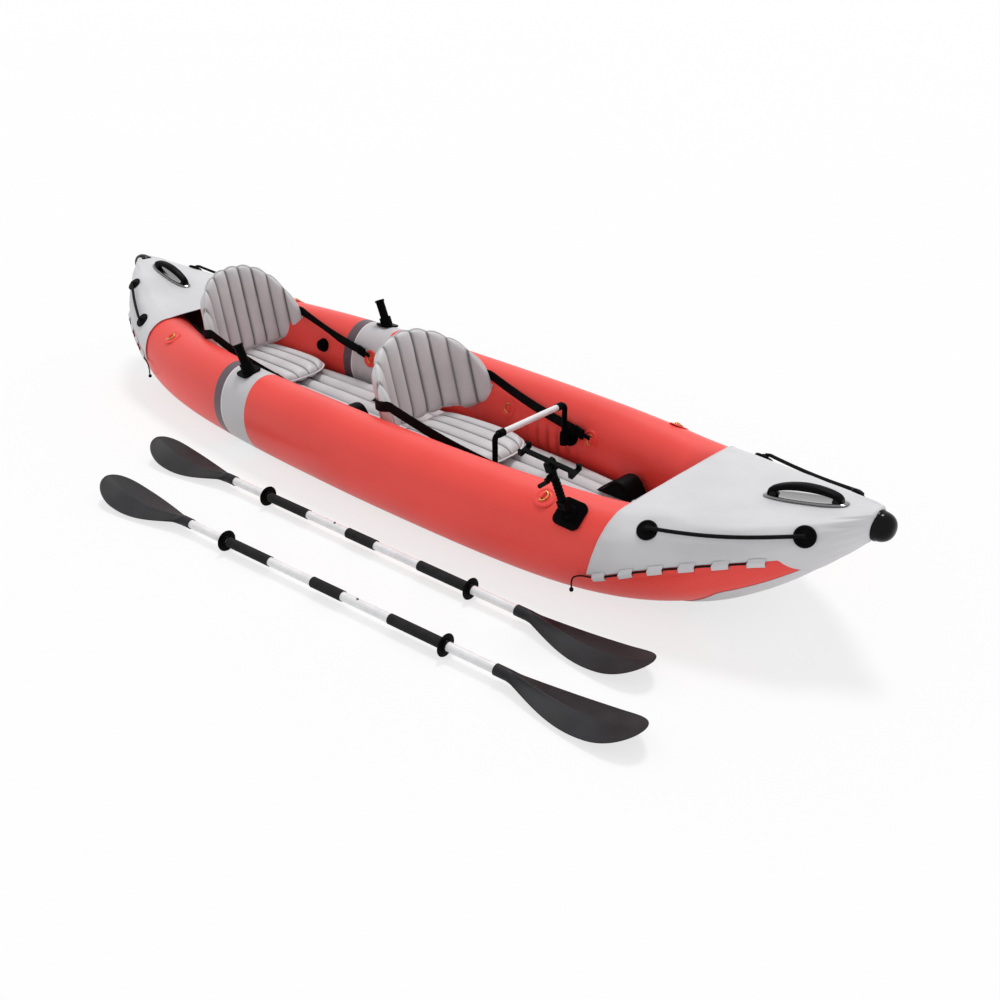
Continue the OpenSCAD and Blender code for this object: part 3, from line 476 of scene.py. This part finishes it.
# Nose caps and carry handles
# Glossy black mouldings: a domed cap on each nose, and a low arched grip on an oval deck plate.
gloss_black = finish_of("gloss_black", (4, 4, 5), (8, 8, 9), 9, 0.13, 300, 0.04, shine=0.12)
polished = finish_of("polished_black", (4, 4, 5), (9, 9, 10), 9, 0.12, 300, 0.04, shine=0.3)
polished.node_tree.nodes["Principled BSDF"].inputs["Coat Weight"].default_value = 1.0
polished.node_tree.nodes["Principled BSDF"].inputs["Coat IOR"].default_value = 2.4
soft_black = finish_of("soft_black", (7, 7, 8), (14, 14, 15), 14, 0.40, 500, 0.18, shine=0.03)
cap_r, cap_z = 0.0445, 0.402
for end, end_name, rim, tip_up in ((1, "bow", 0.0, 0.0), (-1, "stern", 0.024, 0.30)):
    def cap_point(u, v):
        a, r = 2 * math.pi * v, cap_r + 0.10 * rim
        if u < 0.3:
            x, r = (-0.004 + 0.014 * u / 0.3 - rim, r + 0.0015 * math.sin(math.pi * u / 0.3))
        else:
            b = (u - 0.3) / 0.7 * math.pi / 2
            x, r = 0.010 - rim + (0.042 + rim) * math.sin(b), (r - 0.001) * math.cos(b) ** 0.8
        y, z = r * math.cos(a), 1.02 * r * math.sin(a)
        c, s = math.cos(tip_up), math.sin(tip_up)
        return Vector((end * (tube_end + x * c - z * s * 0.3), y, cap_z + x * s + z + 0.35 * rim))
    cap = shaped(end_name + "_nose_cap", 40, 48, cap_point, close=True)
    dress(cap, gloss_black, "black_fitting", "hull", "nose_caps")

handle_x, handle_l = tube_end - 0.329, 0.214


def deck_z(x):
    return top_z(x) + cover_off + deck_crown


handle_mid = handle_x + handle_l / 2
handle_turn = math.atan((deck_z(handle_mid + 0.004) - deck_z(handle_mid - 0.004)) / 0.008)


def on_deck(end, x, y, z):
    """Point on the deck plate's own axes, its foot at the aft end of the grip."""
    c, s = math.cos(handle_turn), math.sin(handle_turn)
    return Vector((end * (handle_x + x * c - z * s), y, deck_z(handle_x) + 0.0015 + x * s + z * c))


def grip_section(t):
    """Middle and half sizes of the grip along its length, thick in the middle and let into its feet."""
    x = -0.010 + (handle_l + 0.020) * t
    rise = 0.030 * math.sin(math.pi * t) ** 0.5
    return x, 0.009 + rise, 0.0190 - 0.004 * abs(2 * t - 1) ** 2, 0.0115 - 0.002 * abs(2 * t - 1)


def squared(value, power):
    return math.copysign(abs(value) ** power, value)


def along_profile(profile, u):
    """Radius and height at share u of a profile of (radius, height) points."""
    t = u * (len(profile) - 1)
    i = min(len(profile) - 2, int(t))
    return tuple(a + (b - a) * (t - i) for a, b in zip(profile[i], profile[i + 1]))


plate_shape = [(0.0, 0.0045), (0.55, 0.005), (0.80, 0.0062), (0.93, 0.0060), (1.0, 0.0030), (1.0, 0.0)]
for end, end_name in ((1, "bow"), (-1, "stern")):
    def grip_point(u, v):
        x, z, wide, thick = grip_section(u)
        a = 2 * math.pi * v
        return on_deck(end, x, wide * squared(math.cos(a), 0.7), z + thick * squared(math.sin(a), 0.8))
    grip = shaped(end_name + "_handle_grip", 60, 28, grip_point, close=True)
    dress(grip, soft_black, "soft_black", "hull", "carry_handles")

    def plate_point(u, v):
        reach, z = along_profile(plate_shape, u)
        a = 2 * math.pi * v
        x = handle_l / 2 + (handle_l / 2 + 0.030) * reach * squared(math.cos(a), 0.75)
        return on_deck(end, x, 0.034 * reach * squared(math.sin(a), 0.75), z)
    plate = shaped(end_name + "_handle_plate", 25, 64, plate_point, close=True)
    dress(plate, polished, "black_fitting", "hull", "carry_handles")
    for x, foot_name in ((0.004, "aft"), (handle_l - 0.004, "fore")):
        foot = shaped("%s_handle_foot_%s" % (end_name, foot_name), 12, 32, lambda u, v: on_deck(
            end, x + (0.022 - 0.012 * u ** 0.6) * math.cos(2 * math.pi * v),
            (0.021 - 0.008 * u ** 0.6) * math.sin(2 * math.pi * v), 0.002 + 0.022 * u), close=True)
        dress(foot, gloss_black, "black_fitting", "hull", "carry_handles")

# Grab lines
# Braided black cord between moulded buttons, two on each side of both ends.
# A button is a turned disc with a raised rim, a groove and a hub that the cord runs into.
grab_at = {1: ((0.547, 53), (0.136, 37)), -1: ((0.451, 46), (0.172, 52))}
grab_r, grab_sag, grab_bulge, near_bow_bulge = 0.0060, -0.010, 0.004, 0.014
line_low, line_high, line_steps = 0.0145, 0.0195, 24


def skin_frame(end, x, side, degrees, off):
    """Axes on a tube's skin: along the hull, across it and out of it, with the place last."""
    out = out_of_tube(x, side, degrees)
    along = (Vector((1, 0, 0)) - out * out.x).normalized()
    spot = on_tube(x, side, degrees) + out * off
    return Matrix.Diagonal((end, 1, 1, 1)) @ axes_at(along, out.cross(along), out, spot)


def turned(name, profile, around, place):
    """Disc or knob turned from a profile of (radius, height), put in place by a matrix."""
    def spot(u, v):
        r, z = along_profile(profile, u)
        return place @ Vector((r * math.cos(2 * math.pi * v), r * math.sin(2 * math.pi * v), z))
    piece = shaped(name, 3 * (len(profile) - 1), around, spot, close=True)
    bpy.ops.object.shade_smooth_by_angle(angle=math.radians(38))
    return piece


button_shape = [(0.0, 0.0150), (0.006, 0.0148), (0.0105, 0.0135), (0.0125, 0.0105), (0.0135, 0.0080),
                (0.0185, 0.0074), (0.0200, 0.0062), (0.0225, 0.0062), (0.0240, 0.0078), (0.0285, 0.0076),
                (0.0315, 0.0055), (0.0325, 0.0020), (0.0325, 0.0)]
for end, end_name in ((1, "bow"), (-1, "stern")):
    for side, side_name in ((-1, "starboard"), (1, "port")):
        ends = []
        for i, (distance, degrees) in enumerate(grab_at[end]):
            place = skin_frame(end, tube_end - distance, side, degrees, cover_off + 0.0003)
            button = turned("%s_%s_line_button_%d" % (end_name, side_name, i + 1), button_shape, 48, place)
            dress(button, soft_black, "black_fitting", "hull", "grab_buttons")
            ends.append((place @ Vector((0, 0, line_low)), place @ Vector((0, 0, line_high))))
        (a_low, a), (b_low, b) = ends
        bulge = near_bow_bulge if (end, side) == (1, -1) else grab_bulge
        sag = Vector((0, side * bulge, grab_sag))
        points = [a + (b - a) * (k / line_steps) + sag * math.sin(math.pi * k / line_steps)
                  for k in range(1, line_steps)]
        points = smooth_line([a_low] + points + [b_low], 2)
        line = tube_curve("%s_%s_grab_line" % (end_name, side_name), points, grab_r)
        dress(line, cord_black, "cord", "hull", "grab_lines")

# Rings and valves
# Brass D-rings in loops on round red patches pressed with two rings, and the valves of both tubes.
brass = finish_of("brass", (196, 150, 74), (224, 182, 104), 40, 0.26, 400, 0.05, metal=1.0)
finish_nodes(brass, "d_rings")


def wall_ang(x, z):
    middle, tall = (top_z(x) + low_z(x)) / 2, (top_z(x) - low_z(x)) / 2
    return 180 - math.degrees(math.asin((z - middle) / tall))


patch_shape = [(0.0, 0.0020), (0.015, 0.0020), (0.017, 0.0034), (0.020, 0.0034), (0.022, 0.0020),
               (0.0275, 0.0020), (0.0290, 0.0032), (0.0320, 0.0032), (0.0335, 0.0018), (0.0365, 0.0014),
               (0.0370, 0.0)]
ring_x, ring_z, deck_ring = {"fore": 0.687, "aft": -0.525, "mid": 0.267}, 0.213, 66
loop_r, loop_half, loop_t = 0.0052, 0.011, 0.0014
for side, side_name in ((-1, "starboard"), (1, "port")):
    spots = [("deck_fore", 0.970, deck_ring, -0.0003), ("deck_aft", -1.150, deck_ring, -0.0003)]
    spots += [("wall_" + n, x, wall_ang(x, ring_z), 0.0009) for n, x in ring_x.items()]
    for ring_name, x, degrees, off in spots:
        place = skin_frame(1, x, side, degrees, off)
        patch = turned("%s_ring_patch_%s" % (side_name, ring_name), patch_shape, 56, place)
        dress(patch, hull_red, "hull_skin", "hull", "ring_patches")
        turn = -1 if ring_name.startswith("wall") else 1

        def loop_point(u, v):
            a = math.pi * (u * 1.5 - 0.25)
            x = turn * -0.009 + loop_r * math.cos(a)
            z = 0.0055 + loop_r * math.sin(a)
            if u < 0.16 or u > 0.84:
                x += (0.012 if u < 0.5 else -0.012) * (abs(u - 0.5) - 0.34) / 0.16
                z = 0.0022
            return place @ Vector((x, loop_half * (2 * v - 1), z))
        loop = shaped("%s_ring_loop_%s" % (side_name, ring_name), 32, 6, loop_point, loop_t)
        dress(loop, hull_red, "hull_skin", "hull", "ring_patches")

fitting_black = finish_of("black_fitting", (6, 6, 7), (12, 12, 14), 18, 0.30, 420, 0.12, shine=0.02)
finish_nodes(fitting_black, "valve_bases", "port_valve_cap", "starboard_valve_cap")

# Seats
# Each seat is a cushion and a backrest: two welded sheets, blown up between their seams.
# The blown shape comes from a cloth run with air pressure, the seams held; a flat weld runs round.
seat_grey = finish_of("seat_skin", (205, 204, 206), (216, 215, 217), 8.0, 0.44, 760, 0.14, shine=0.35)
# Painted shade along the seats' seams.
seam_crease_shade(seat_grey, (48, 46, 48))
seat_floor, cushion_l, cushion_w, cushion_t, cushion_lobes = 0.1246, 0.450, 0.340, 0.060, 5
seat_front, seat_rear, back_t, back_lobes = 0.472, -0.700, 0.052, 9
air_pressure, air_steps, swell_cap = 4.0, 20, 0.007
cushion_weld, back_weld, weld_tuck, weld_t = 0.009, 0.008, 0.002, 0.0016


def two_sheets(name, nu, nv, place, held):
    """Closed pillow of two sheets that meet at the rim; held(u, v, face) marks the welded points."""
    sheets = []
    for face in (0, 1):
        piece = shaped(name if face == 0 else name + "_low", nu, nv, lambda u, v: place(u, v, face))
        sheets.append(piece)
    bpy.ops.object.select_all(action="DESELECT")
    for piece in sheets:
        piece.select_set(True)
    bpy.context.view_layer.objects.active = sheets[0]
    bpy.ops.object.join()
    pillow = sheets[0]
    bpy.ops.object.mode_set(mode="EDIT")
    bpy.ops.mesh.select_all(action="SELECT")
    bpy.ops.mesh.remove_doubles(threshold=0.00005)
    bpy.ops.mesh.normals_make_consistent(inside=False)
    bpy.ops.object.mode_set(mode="OBJECT")
    start = [v.co.copy() for v in pillow.data.vertices]
    welds = set()
    for face in (0, 1):
        for i in range(nu + 1):
            for j in range(nv + 1):
                if held(i / nu, j / nv, face):
                    welds.add(tuple(round(c, 4) for c in place(i / nu, j / nv, face)))
    pins = pillow.vertex_groups.new(name="welds")
    pins.add([v.index for v in pillow.data.vertices if tuple(round(c, 4) for c in v.co) in welds],
             1.0, "REPLACE")
    cloth = pillow.modifiers.new("air", "CLOTH")
    cloth.settings.quality = 6
    cloth.settings.mass = 0.4
    cloth.settings.tension_stiffness = cloth.settings.compression_stiffness = 25
    cloth.settings.bending_stiffness = 1.5
    cloth.settings.use_pressure = True
    cloth.settings.uniform_pressure_force = air_pressure
    cloth.settings.vertex_group_mass = "welds"
    cloth.settings.effector_weights.gravity = 0.0
    cloth.point_cache.frame_start, cloth.point_cache.frame_end = 1, air_steps
    for step in range(1, air_steps + 1):
        scene.frame_set(step)
    bpy.ops.object.modifier_apply(modifier=cloth.name)
    scene.frame_set(1)
    for v, was in zip(pillow.data.vertices, start):
        moved = v.co - was
        if moved.length > swell_cap:
            v.co = was + moved * (swell_cap / moved.length)
    pinned = {v.index for v in pillow.data.vertices if v.groups}
    crease = pillow.data.attributes.new("crease_edge", "FLOAT", "EDGE")
    for edge in pillow.data.edges:
        if pinned.issuperset(edge.vertices):
            crease.data[edge.index].value = 1.0
    round_it = pillow.modifiers.new("smooth", "SUBSURF")
    round_it.levels = round_it.render_levels = 1
    bpy.ops.object.modifier_apply(modifier=round_it.name)
    bpy.ops.object.shade_smooth()
    return pillow


def cushion_plan(u, v):
    length = cushion_l * (1 - 0.10 * abs(u) ** 3)
    wide = cushion_w / 2 * (1 - 0.05 * v ** 4 - 0.12 * v ** 14 - 0.18 * (1 - v) ** 2)
    return -cushion_l + length * v, u * wide


def cushion_point(s, t, face):
    u, v = 2 * s - 1, 0.5 - 0.5 * math.cos(math.pi * t)
    x, y = cushion_plan(u, v)
    lobe = 0.60 + 0.40 * abs(math.sin(math.pi / 2 * cushion_lobes * (u + 1))) ** 0.7
    edge = math.sqrt(max(0.0, 1 - abs(u) ** 6)) * math.sqrt(max(0.0, 1 - abs(2 * v - 1) ** 8))
    edge *= 1 - 0.30 * (1 - v) ** 4
    middle = cushion_t * 0.45
    if face == 0:
        return Vector((x, y, seat_floor + middle + (cushion_t - middle) * lobe * edge))
    return Vector((x, y, seat_floor + middle * max(0.0, 1 - 1.25 * lobe * edge)))


def cushion_held(s, t, face):
    seam = abs(((s * cushion_lobes) + 0.5) % 1.0 - 0.5) < 0.02
    return seam or face == 1 or t in (0.0, 1.0) or s in (0.0, 1.0)


def round_rim(u):
    """Shares across and along a sheet for a point at share u of its rim."""
    i, t = int(4 * u % 4), 4 * u % 4 % 1
    return ((t, 0), (1, t), (1 - t, 1), (0, 1 - t))[i]


cushion = two_sheets("front_cushion_blown", 60, 44, cushion_point, cushion_held)


# Strength of the painted seam shade on a cushion's top.
def cushion_seam(co):
    u = 0.0
    for step in range(4):
        v = (co.x + cushion_l) / (cushion_l * (1 - 0.10 * abs(u) ** 3))
        u = co.y / cushion_plan(1.0, v)[1]
    if co.z < seat_floor + 0.5 * cushion_t:
        return 0.0
    return 0.8 * math.exp(-(math.sin(math.pi / 2 * cushion_lobes * (u + 1)) / 0.22) ** 2)


mark_seams(cushion, cushion_seam)
rear_cushion = cushion.copy()
rear_cushion.data = cushion.data.copy()
rear_cushion.name = rear_cushion.data.name = "rear_cushion_blown"
scene.collection.objects.link(rear_cushion)
for name, seat, piece in (("front", seat_front, cushion), ("rear", seat_rear, rear_cushion)):
    piece.data.transform(Matrix.Translation((seat, 0, 0)))
    dress(piece, seat_grey, "seat_skin", "hull", name + "_cushion")

    def flange_point(u, v):
        s, e = round_rim(u)
        x, y = cushion_plan(2 * s - 1, e)
        out = Vector((x + cushion_l / 2, y * 1.2, 0)).normalized()
        at = Vector((seat + x, y, seat_floor + cushion_t * 0.45))
        return at + out * (cushion_weld * v - weld_tuck)
    flange = shaped(name + "_cushion_weld", 240, 3, flange_point, weld_t)
    dress(flange, seat_grey, "seat_skin", "hull")

hinge_z, wing_steps = seat_floor + cushion_t, 100
backs = {"front": dict(foot_x=0.020, tilt=15.0, half_w=0.335, turn=88, curl=1.6, tall=0.326, fall=0.640,
                       round=2.03, rise=-0.022, flat=0.46, span=0.14, ease=1.0),
         "rear": dict(foot_x=-1.090, tilt=11.4, half_w=0.290, turn=90, curl=2.0, tall=0.3555, fall=0.660,
                      round=2.40, rise=0.050, flat=0.50, span=0.50, ease=2.0)}


def leaned(back):
    """Matrix from a backrest's own upright axes to its leaning place."""
    return (Matrix.Translation((back["foot_x"], 0, hinge_z))
            @ Matrix.Rotation(-math.radians(back["tilt"]), 4, "Y"))


def wing_plan(back):
    """Plan of a backrest from its middle outwards, flat and then turning forward: x, y and angle."""
    line, x, y, step = [], 0.0, 0.0, back["half_w"] / wing_steps
    for k in range(wing_steps + 1):
        a = math.radians(back["turn"]) * (k / wing_steps) ** back["curl"]
        line.append((x, y, a))
        x, y = x + step * math.sin(a), y + step * math.cos(a)
    return line


def on_wing(plan, u, off, z):
    """Point at share u of a backrest's half width, off its middle surface towards the paddler."""
    i = min(wing_steps - 1, int(abs(u) * wing_steps))
    (x, y, a), (x2, y2, a2) = plan[i], plan[i + 1]
    k = abs(u) * wing_steps - i
    x, y, a = x + (x2 - x) * k, y + (y2 - y) * k, a + (a2 - a) * k
    return Vector((x + off * math.cos(a), math.copysign(y - off * math.sin(a), u), z))


for name, back in backs.items():
    lean, plan = leaned(back), wing_plan(back)

    def spot(u, v, off):
        top = back["tall"] * (1 - back["fall"] * abs(u) ** back["round"])
        base = back["rise"] * ramp(u, back["flat"], back["flat"] + back["span"]) ** back["ease"]
        half = (top - base) / 2 * math.sqrt(max(0.0, 1 - abs(u) ** 12))
        wave = 0.007 * (abs(math.sin(math.pi / 2 * back_lobes * (u + 1))) - 0.5) * (2 * v - 1) ** 3
        z = (top + base) / 2 + half * (2 * v - 1) + wave * min(1.0, half / 0.04)
        return lean @ on_wing(plan, u, off, z)

    # Strength of the painted seam shade on a backrest.
    def back_seam(co):
        local = lean.inverted() @ co
        gaps = [(x - local.x) ** 2 + (y - abs(local.y)) ** 2 for x, y, a in plan]
        near = gaps.index(min(gaps))
        if near >= wing_steps - 3:
            return 0.0
        u = math.copysign(near / wing_steps, local.y)
        return 0.8 * math.exp(-(math.sin(math.pi / 2 * back_lobes * (u + 1)) / 0.2) ** 2)

    def back_point(s, t, face):
        u, v = 2 * s - 1, 0.5 - 0.5 * math.cos(math.pi * t)
        lobe = 0.16 + 0.84 * abs(math.sin(math.pi / 2 * back_lobes * (u + 1))) ** 0.55
        edge = math.sqrt(max(0.0, 1 - abs(u) ** 8)) * math.sqrt(max(0.0, 1 - abs(2 * v - 1) ** 8))
        return spot(u, v, (1 if face else -1) * back_t / 2 * lobe * edge)

    def back_held(s, t, face):
        seam = abs(((s * back_lobes) + 0.5) % 1.0 - 0.5) < 0.02
        return (seam and 0.06 < t < 0.94) or t in (0.0, 1.0) or s in (0.0, 1.0)

    rest = two_sheets(name + "_backrest_blown", 90, 46, back_point, back_held)
    mark_seams(rest, back_seam)
    dress(rest, seat_grey, "seat_skin", name + "_backrest", name + "_back")

    def rim_point(u, v):
        s, e = round_rim(u)
        inner = spot(2 * s - 1, e, 0)
        out = inner - spot((2 * s - 1) * 0.97, 0.5 + (e - 0.5) * 0.97, 0)
        return inner + out.normalized() * (back_weld * v - weld_tuck)
    rim = shaped(name + "_backrest_weld", 300, 3, rim_point, weld_t)
    dress(rim, seat_grey, "seat_skin", name + "_backrest")

# Seat straps
# Flat black webbing sewn behind each backrest, led round its edges and forward to the wall buckles.
webbing = finish_of("webbing", (9, 9, 10), (20, 20, 22), 30, 0.70, 1300, 0.5, shine=0.04)
strap_half, strap_t, sewn_z, buckle_back, strap_sag = 0.0195, 0.0022, 0.124, 0.068, 0.010
sewn_steps, free_steps = 14, 20
strap_runs = []
for name, pass_z, ring, buckle_in, buckle_z in (
        ("front", {-1: 0.118, 1: 0.082}, ring_x["fore"], 0.0062, 0.236),
        ("rear", {-1: 0.128, 1: 0.110}, ring_x["aft"], 0.0082, 0.243)):
    lean, plan = leaned(backs[name]), wing_plan(backs[name])
    wall_y = on_tube(ring, 1, wall_ang(ring, ring_z)).y
    for side, side_name in ((-1, "starboard"), (1, "port")):
        held = Vector((ring - buckle_back, side * (wall_y - buckle_in), buckle_z))
        spine = []
        for k in range(sewn_steps + 1):
            t = k / sewn_steps
            off = back_t / 2 + 0.010 - 0.024 * t ** 4
            height = sewn_z + (pass_z[side] - sewn_z) * t ** 2
            spine.append(lean @ on_wing(plan, side * max(0.001, t), -off, height))
        start = spine[-1].copy()
        for k in range(1, free_steps + 1):
            p = start + (held - start) * (k / free_steps)
            spine.append(p - Vector((0, 0, strap_sag * math.sin(math.pi * k / free_steps))))
        spine = smooth_line(spine, 3)

        def strap_point(u, v):
            t = u * (len(spine) - 1)
            i = min(len(spine) - 2, int(t))
            p = spine[i] + (spine[i + 1] - spine[i]) * (t - i)
            d = (spine[i + 1] - spine[i]).normalized()
            across = (Vector((0, 0, 1)) - d * d.z).normalized()
            return p + across * strap_half * (2 * v - 1)
        strap = shaped("%s_%s_strap" % (name, side_name), 130, 6, strap_point, strap_t)
        strap.data.materials.append(webbing)
        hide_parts(name + "_straps")
        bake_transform(strap)
        strap_runs.append((name + "_" + side_name, start, held))


def block(name, size, place, edge):
    """Box with rounded edges, put in place by a matrix."""
    bpy.ops.mesh.primitive_cube_add(size=1.0)
    piece = bpy.context.object
    piece.name = piece.data.name = name
    piece.data.transform(place @ Matrix.Diagonal((*size, 1.0)))
    soft = piece.modifiers.new("edges", "BEVEL")
    soft.width, soft.segments = edge, 3
    bpy.ops.object.modifier_apply(modifier=soft.name)
    bpy.ops.object.shade_smooth_by_angle(angle=math.radians(40))
    return piece


for name, start, stop in strap_runs:
    along = (stop - start).normalized()
    out = Vector((0, 0, 1)).cross(along).normalized()
    place = axes_at(along, out, along.cross(out), stop)
    for part, size, at, edge in (
            ("frame", (0.046, 0.011, 0.042), (0.023, 0, 0), 0.004),
            ("bar_aft", (0.007, 0.017, 0.038), (0.008, 0, 0), 0.003),
            ("bar_mid", (0.007, 0.016, 0.038), (0.022, 0, 0), 0.003),
            ("bar_fore", (0.008, 0.015, 0.034), (0.037, 0, 0), 0.003),
            ("hook", (0.034, 0.006, 0.017), (0.060, 0, 0.002), 0.0025)):
        made = block("%s_buckle_%s" % (name, part), size, place @ Matrix.Translation(at), edge)
        dress(made, fitting_black, "black_fitting", "hull", "strap_buckles")

# Footrests
# Black moulded wedges that slide along the floor, a pair for each paddler.
wedge_half, wedge_w, wedge_h, wedge_peak, wedge_y = 0.070, 0.050, 0.060, 0.012, 0.112
wedge_toe, wedge_edge, wedge_drop, wedge_t = 0.004, 0.006, 0.0035, 0.003
wedge_side, rib_depth, rib_pitch = 0.16, 0.0012, 0.0125


def wedge_height(x):
    if x < wedge_peak:
        t = (x + wedge_half) / (wedge_half + wedge_peak)
        return wedge_toe + (wedge_h - wedge_toe) * t * t * (3 - 2 * t)
    return wedge_h * max(0.0, 1 - ((x - wedge_peak) / (wedge_half - wedge_peak)) ** 3.2)


for name, at_x in (("front", 0.915), ("rear", -0.270)):
    for side, side_name in ((-1, "starboard"), (1, "port")):
        def wedge_point(u, v):
            x = wedge_half * (2 * u - 1)
            if v < wedge_side or v > 1 - wedge_side:
                t = min(v, 1 - v) / wedge_side
                y = wedge_w - wedge_edge * t ** 4
                z = wedge_height(x) * t - wedge_drop * t ** 6
                y = y if v > 0.5 else -y
            else:
                y = (wedge_w - wedge_edge) * (2 * (v - wedge_side) / (1 - 2 * wedge_side) - 1)
                z = wedge_height(x) - wedge_drop * (abs(y) / (wedge_w - wedge_edge)) ** 6
                z += rib_depth * math.cos(x * 2 * math.pi / rib_pitch) * bump(x, -0.02, 0.05)
            return Vector((at_x + x, side * wedge_y + y, seat_floor + max(0.0, z)))
        wedge = shaped("%s_footrest_%s" % (name, side_name), 90, 50, wedge_point, wedge_t)
        dress(wedge, soft_black, "soft_black", name + "_footrest", name + "_footrests")

# Accessory bracket
# A pale aluminium crossbar on two black elbow legs that stand in sockets on the inner walls.
alloy = finish_of("alloy_tube", (230, 230, 232), (243, 243, 245), 30, 0.38, 900, 0.05, metal=0.08)
finish_nodes(fitting_black, "bracket_sockets", "bracket_legs")
finish_nodes(alloy, "bracket_bar")

# Rod holders
# Two leaning rod tubes on square bases, and a swivel holder with a notched arm on the near tube.
finish_nodes(fitting_black, "rod_bases", "rod_tubes", "arm_base", "arm_stem", "arm_link", "lock_lever",
             "rod_cradle")

# Paddles
# Two take-apart paddles: alloy shafts, foam grips, rubber drip rings and moulded spoon blades.
steel = finish_of("button_steel", (70, 70, 72), (92, 92, 95), 60, 0.35, 600, 0.05, metal=0.8)
foam = finish_of("grip_foam", (32, 32, 33), (44, 44, 46), 40, 0.74, 1800, 0.35, shine=0.1)
blade_black = finish_of("blade_black", (30, 30, 32), (46, 46, 49), 10, 0.48, 700, 0.12, shine=0.14)
for paddle in ("near", "far"):
    for part, finish in (("shaft_a", alloy), ("shaft_b", alloy), ("sleeve", foam), ("button", steel),
                         ("grip_a", foam), ("grip_b", foam), ("ring_a", soft_black), ("ring_b", soft_black)):
        finish_nodes(finish, paddle + "_" + part)
collar_x, collar_l, leaf_l, collar_r = 0.676, 0.044, 0.445, 0.0185
blade_broad, blade_half, paddle_z = 0.67, 0.083, 0.0375


def blade_local(u, v):
    """Spoon blade along +X: round at the neck, broadest two thirds along, with a lifted round end."""
    a = 2 * math.pi * v
    s = max(0.0, 1 - (1 - (u - 0.10) / 0.90) ** 1.6) if u > 0.10 else 0.0
    if s < blade_broad:
        half = collar_r + (blade_half - collar_r) * math.sin(math.pi / 2 * s / blade_broad) ** 1.1
    else:
        half = blade_half * math.sqrt(max(0.0, 1 - ((s - blade_broad) / (1 - blade_broad)) ** 2.4))
    m = min(1.0, s / 0.09)
    m = m * m * (3 - 2 * m)
    y = half * math.cos(a)
    thick = 0.018 * (1 - m) + (0.0022 + 0.0060 * (1 - s) ** 2.5) * m * min(1.0, 0.25 + half / 0.04)
    rib = 0.0085 * m * (1 - s) ** 1.1 * math.exp(-abs(y) / (0.010 + 0.02 * s))
    rim = 0.0016 * m * math.exp(-((half - abs(y)) / 0.004) ** 2)
    z = 0.024 * (max(0.0, s - 0.7) / 0.3) ** 2 - 0.0235 * math.sin(math.radians(209 * s ** 1.15))
    z += 0.008 * m * (half ** 1.2 - abs(y) ** 1.2) / blade_half ** 1.2
    z += thick * math.sin(a) + (rib + rim) * max(0.0, math.sin(a)) ** 0.4
    return Vector((collar_x + collar_l * min(1.0, u / 0.10) + leaf_l * s, y, z))


for paddle, at_x, at_y, turn in (("near", 0.538, -0.897, 184.42), ("far", 0.380, -0.619, 2.9)):
    lie = Matrix.Translation((at_x, at_y, paddle_z)) @ Matrix.Rotation(math.radians(turn), 4, "Z")
    for half, face in (("a", Matrix.Rotation(math.pi, 4, "Z")), ("b", Matrix.Identity(4))):
        blade = shaped("%s_blade_%s_moulded" % (paddle, half), 130, 96,
                       lambda u, v: lie @ face @ blade_local(u, v), close=True)
        dress(blade, blade_black, "blade", "%s_half_%s" % (paddle, half), "%s_blade_%s" % (paddle, half))

# Studio
# A plain white floor, an even white surround and one soft lamp from above and behind.
def looked_at(tree):
    """Socket that is 1 for what the camera sees, also mirrored or through a piece, and 0 for light."""
    rays = tree.nodes.new("ShaderNodeLightPath")
    seen = rays.outputs["Is Camera Ray"]
    for other in ("Is Glossy Ray", "Is Transmission Ray"):
        either = tree.nodes.new("ShaderNodeMath")
        either.operation = "MAXIMUM"
        tree.links.new(seen, either.inputs[0])
        tree.links.new(rays.outputs[other], either.inputs[1])
        seen = either.outputs[0]
    return seen


bpy.ops.mesh.primitive_plane_add(size=60, location=(0, 0, 0))
ground = bpy.context.object
ground.name = "studio_floor"
ground.data.transform(Matrix.Translation((0, 0, -0.0005)))
floor_white = finish_of("studio_floor", (248, 248, 248), (250, 250, 250), 0.4, 0.85, 40, 0.0)
f_nodes, f_link = floor_white.node_tree.nodes, floor_white.node_tree.links.new
glow = f_nodes.new("ShaderNodeEmission")
glow.inputs["Color"].default_value = (1, 1, 1, 1)
glow.inputs["Strength"].default_value = 1.0
share = f_nodes.new("ShaderNodeMapRange")
share.inputs["To Max"].default_value = 0.72
f_link(looked_at(floor_white.node_tree), share.inputs["Value"])
both = f_nodes.new("ShaderNodeMixShader")
f_link(share.outputs["Result"], both.inputs["Fac"])
f_link(f_nodes["Principled BSDF"].outputs[0], both.inputs[1])
f_link(glow.outputs[0], both.inputs[2])
f_link(both.outputs[0], f_nodes["Material Output"].inputs["Surface"])
ground.data.materials.append(floor_white)
world = bpy.data.worlds.new("studio")
scene.world = world
world.use_nodes = True
w_nodes, w_link = world.node_tree.nodes, world.node_tree.links.new
surround = w_nodes["Background"]
surround.inputs["Color"].default_value = (1, 1, 1, 1)
surround.inputs["Strength"].default_value = 0.58
seen = w_nodes.new("ShaderNodeBackground")
seen.inputs["Color"].default_value = (1, 1, 1, 1)
seen.inputs["Strength"].default_value = 1.0
choose = w_nodes.new("ShaderNodeMixShader")
w_link(looked_at(world.node_tree), choose.inputs["Fac"])
w_link(surround.outputs[0], choose.inputs[1])
w_link(seen.outputs[0], choose.inputs[2])
w_link(choose.outputs[0], w_nodes["World Output"].inputs["Surface"])
lamp = bpy.data.objects.new("soft_lamp", bpy.data.lights.new("soft_lamp", "SUN"))
lamp.data.energy, lamp.data.angle = 1.5, math.radians(14)
lamp.rotation_euler = (math.radians(-22), math.radians(-14), 0)
scene.collection.objects.link(lamp)
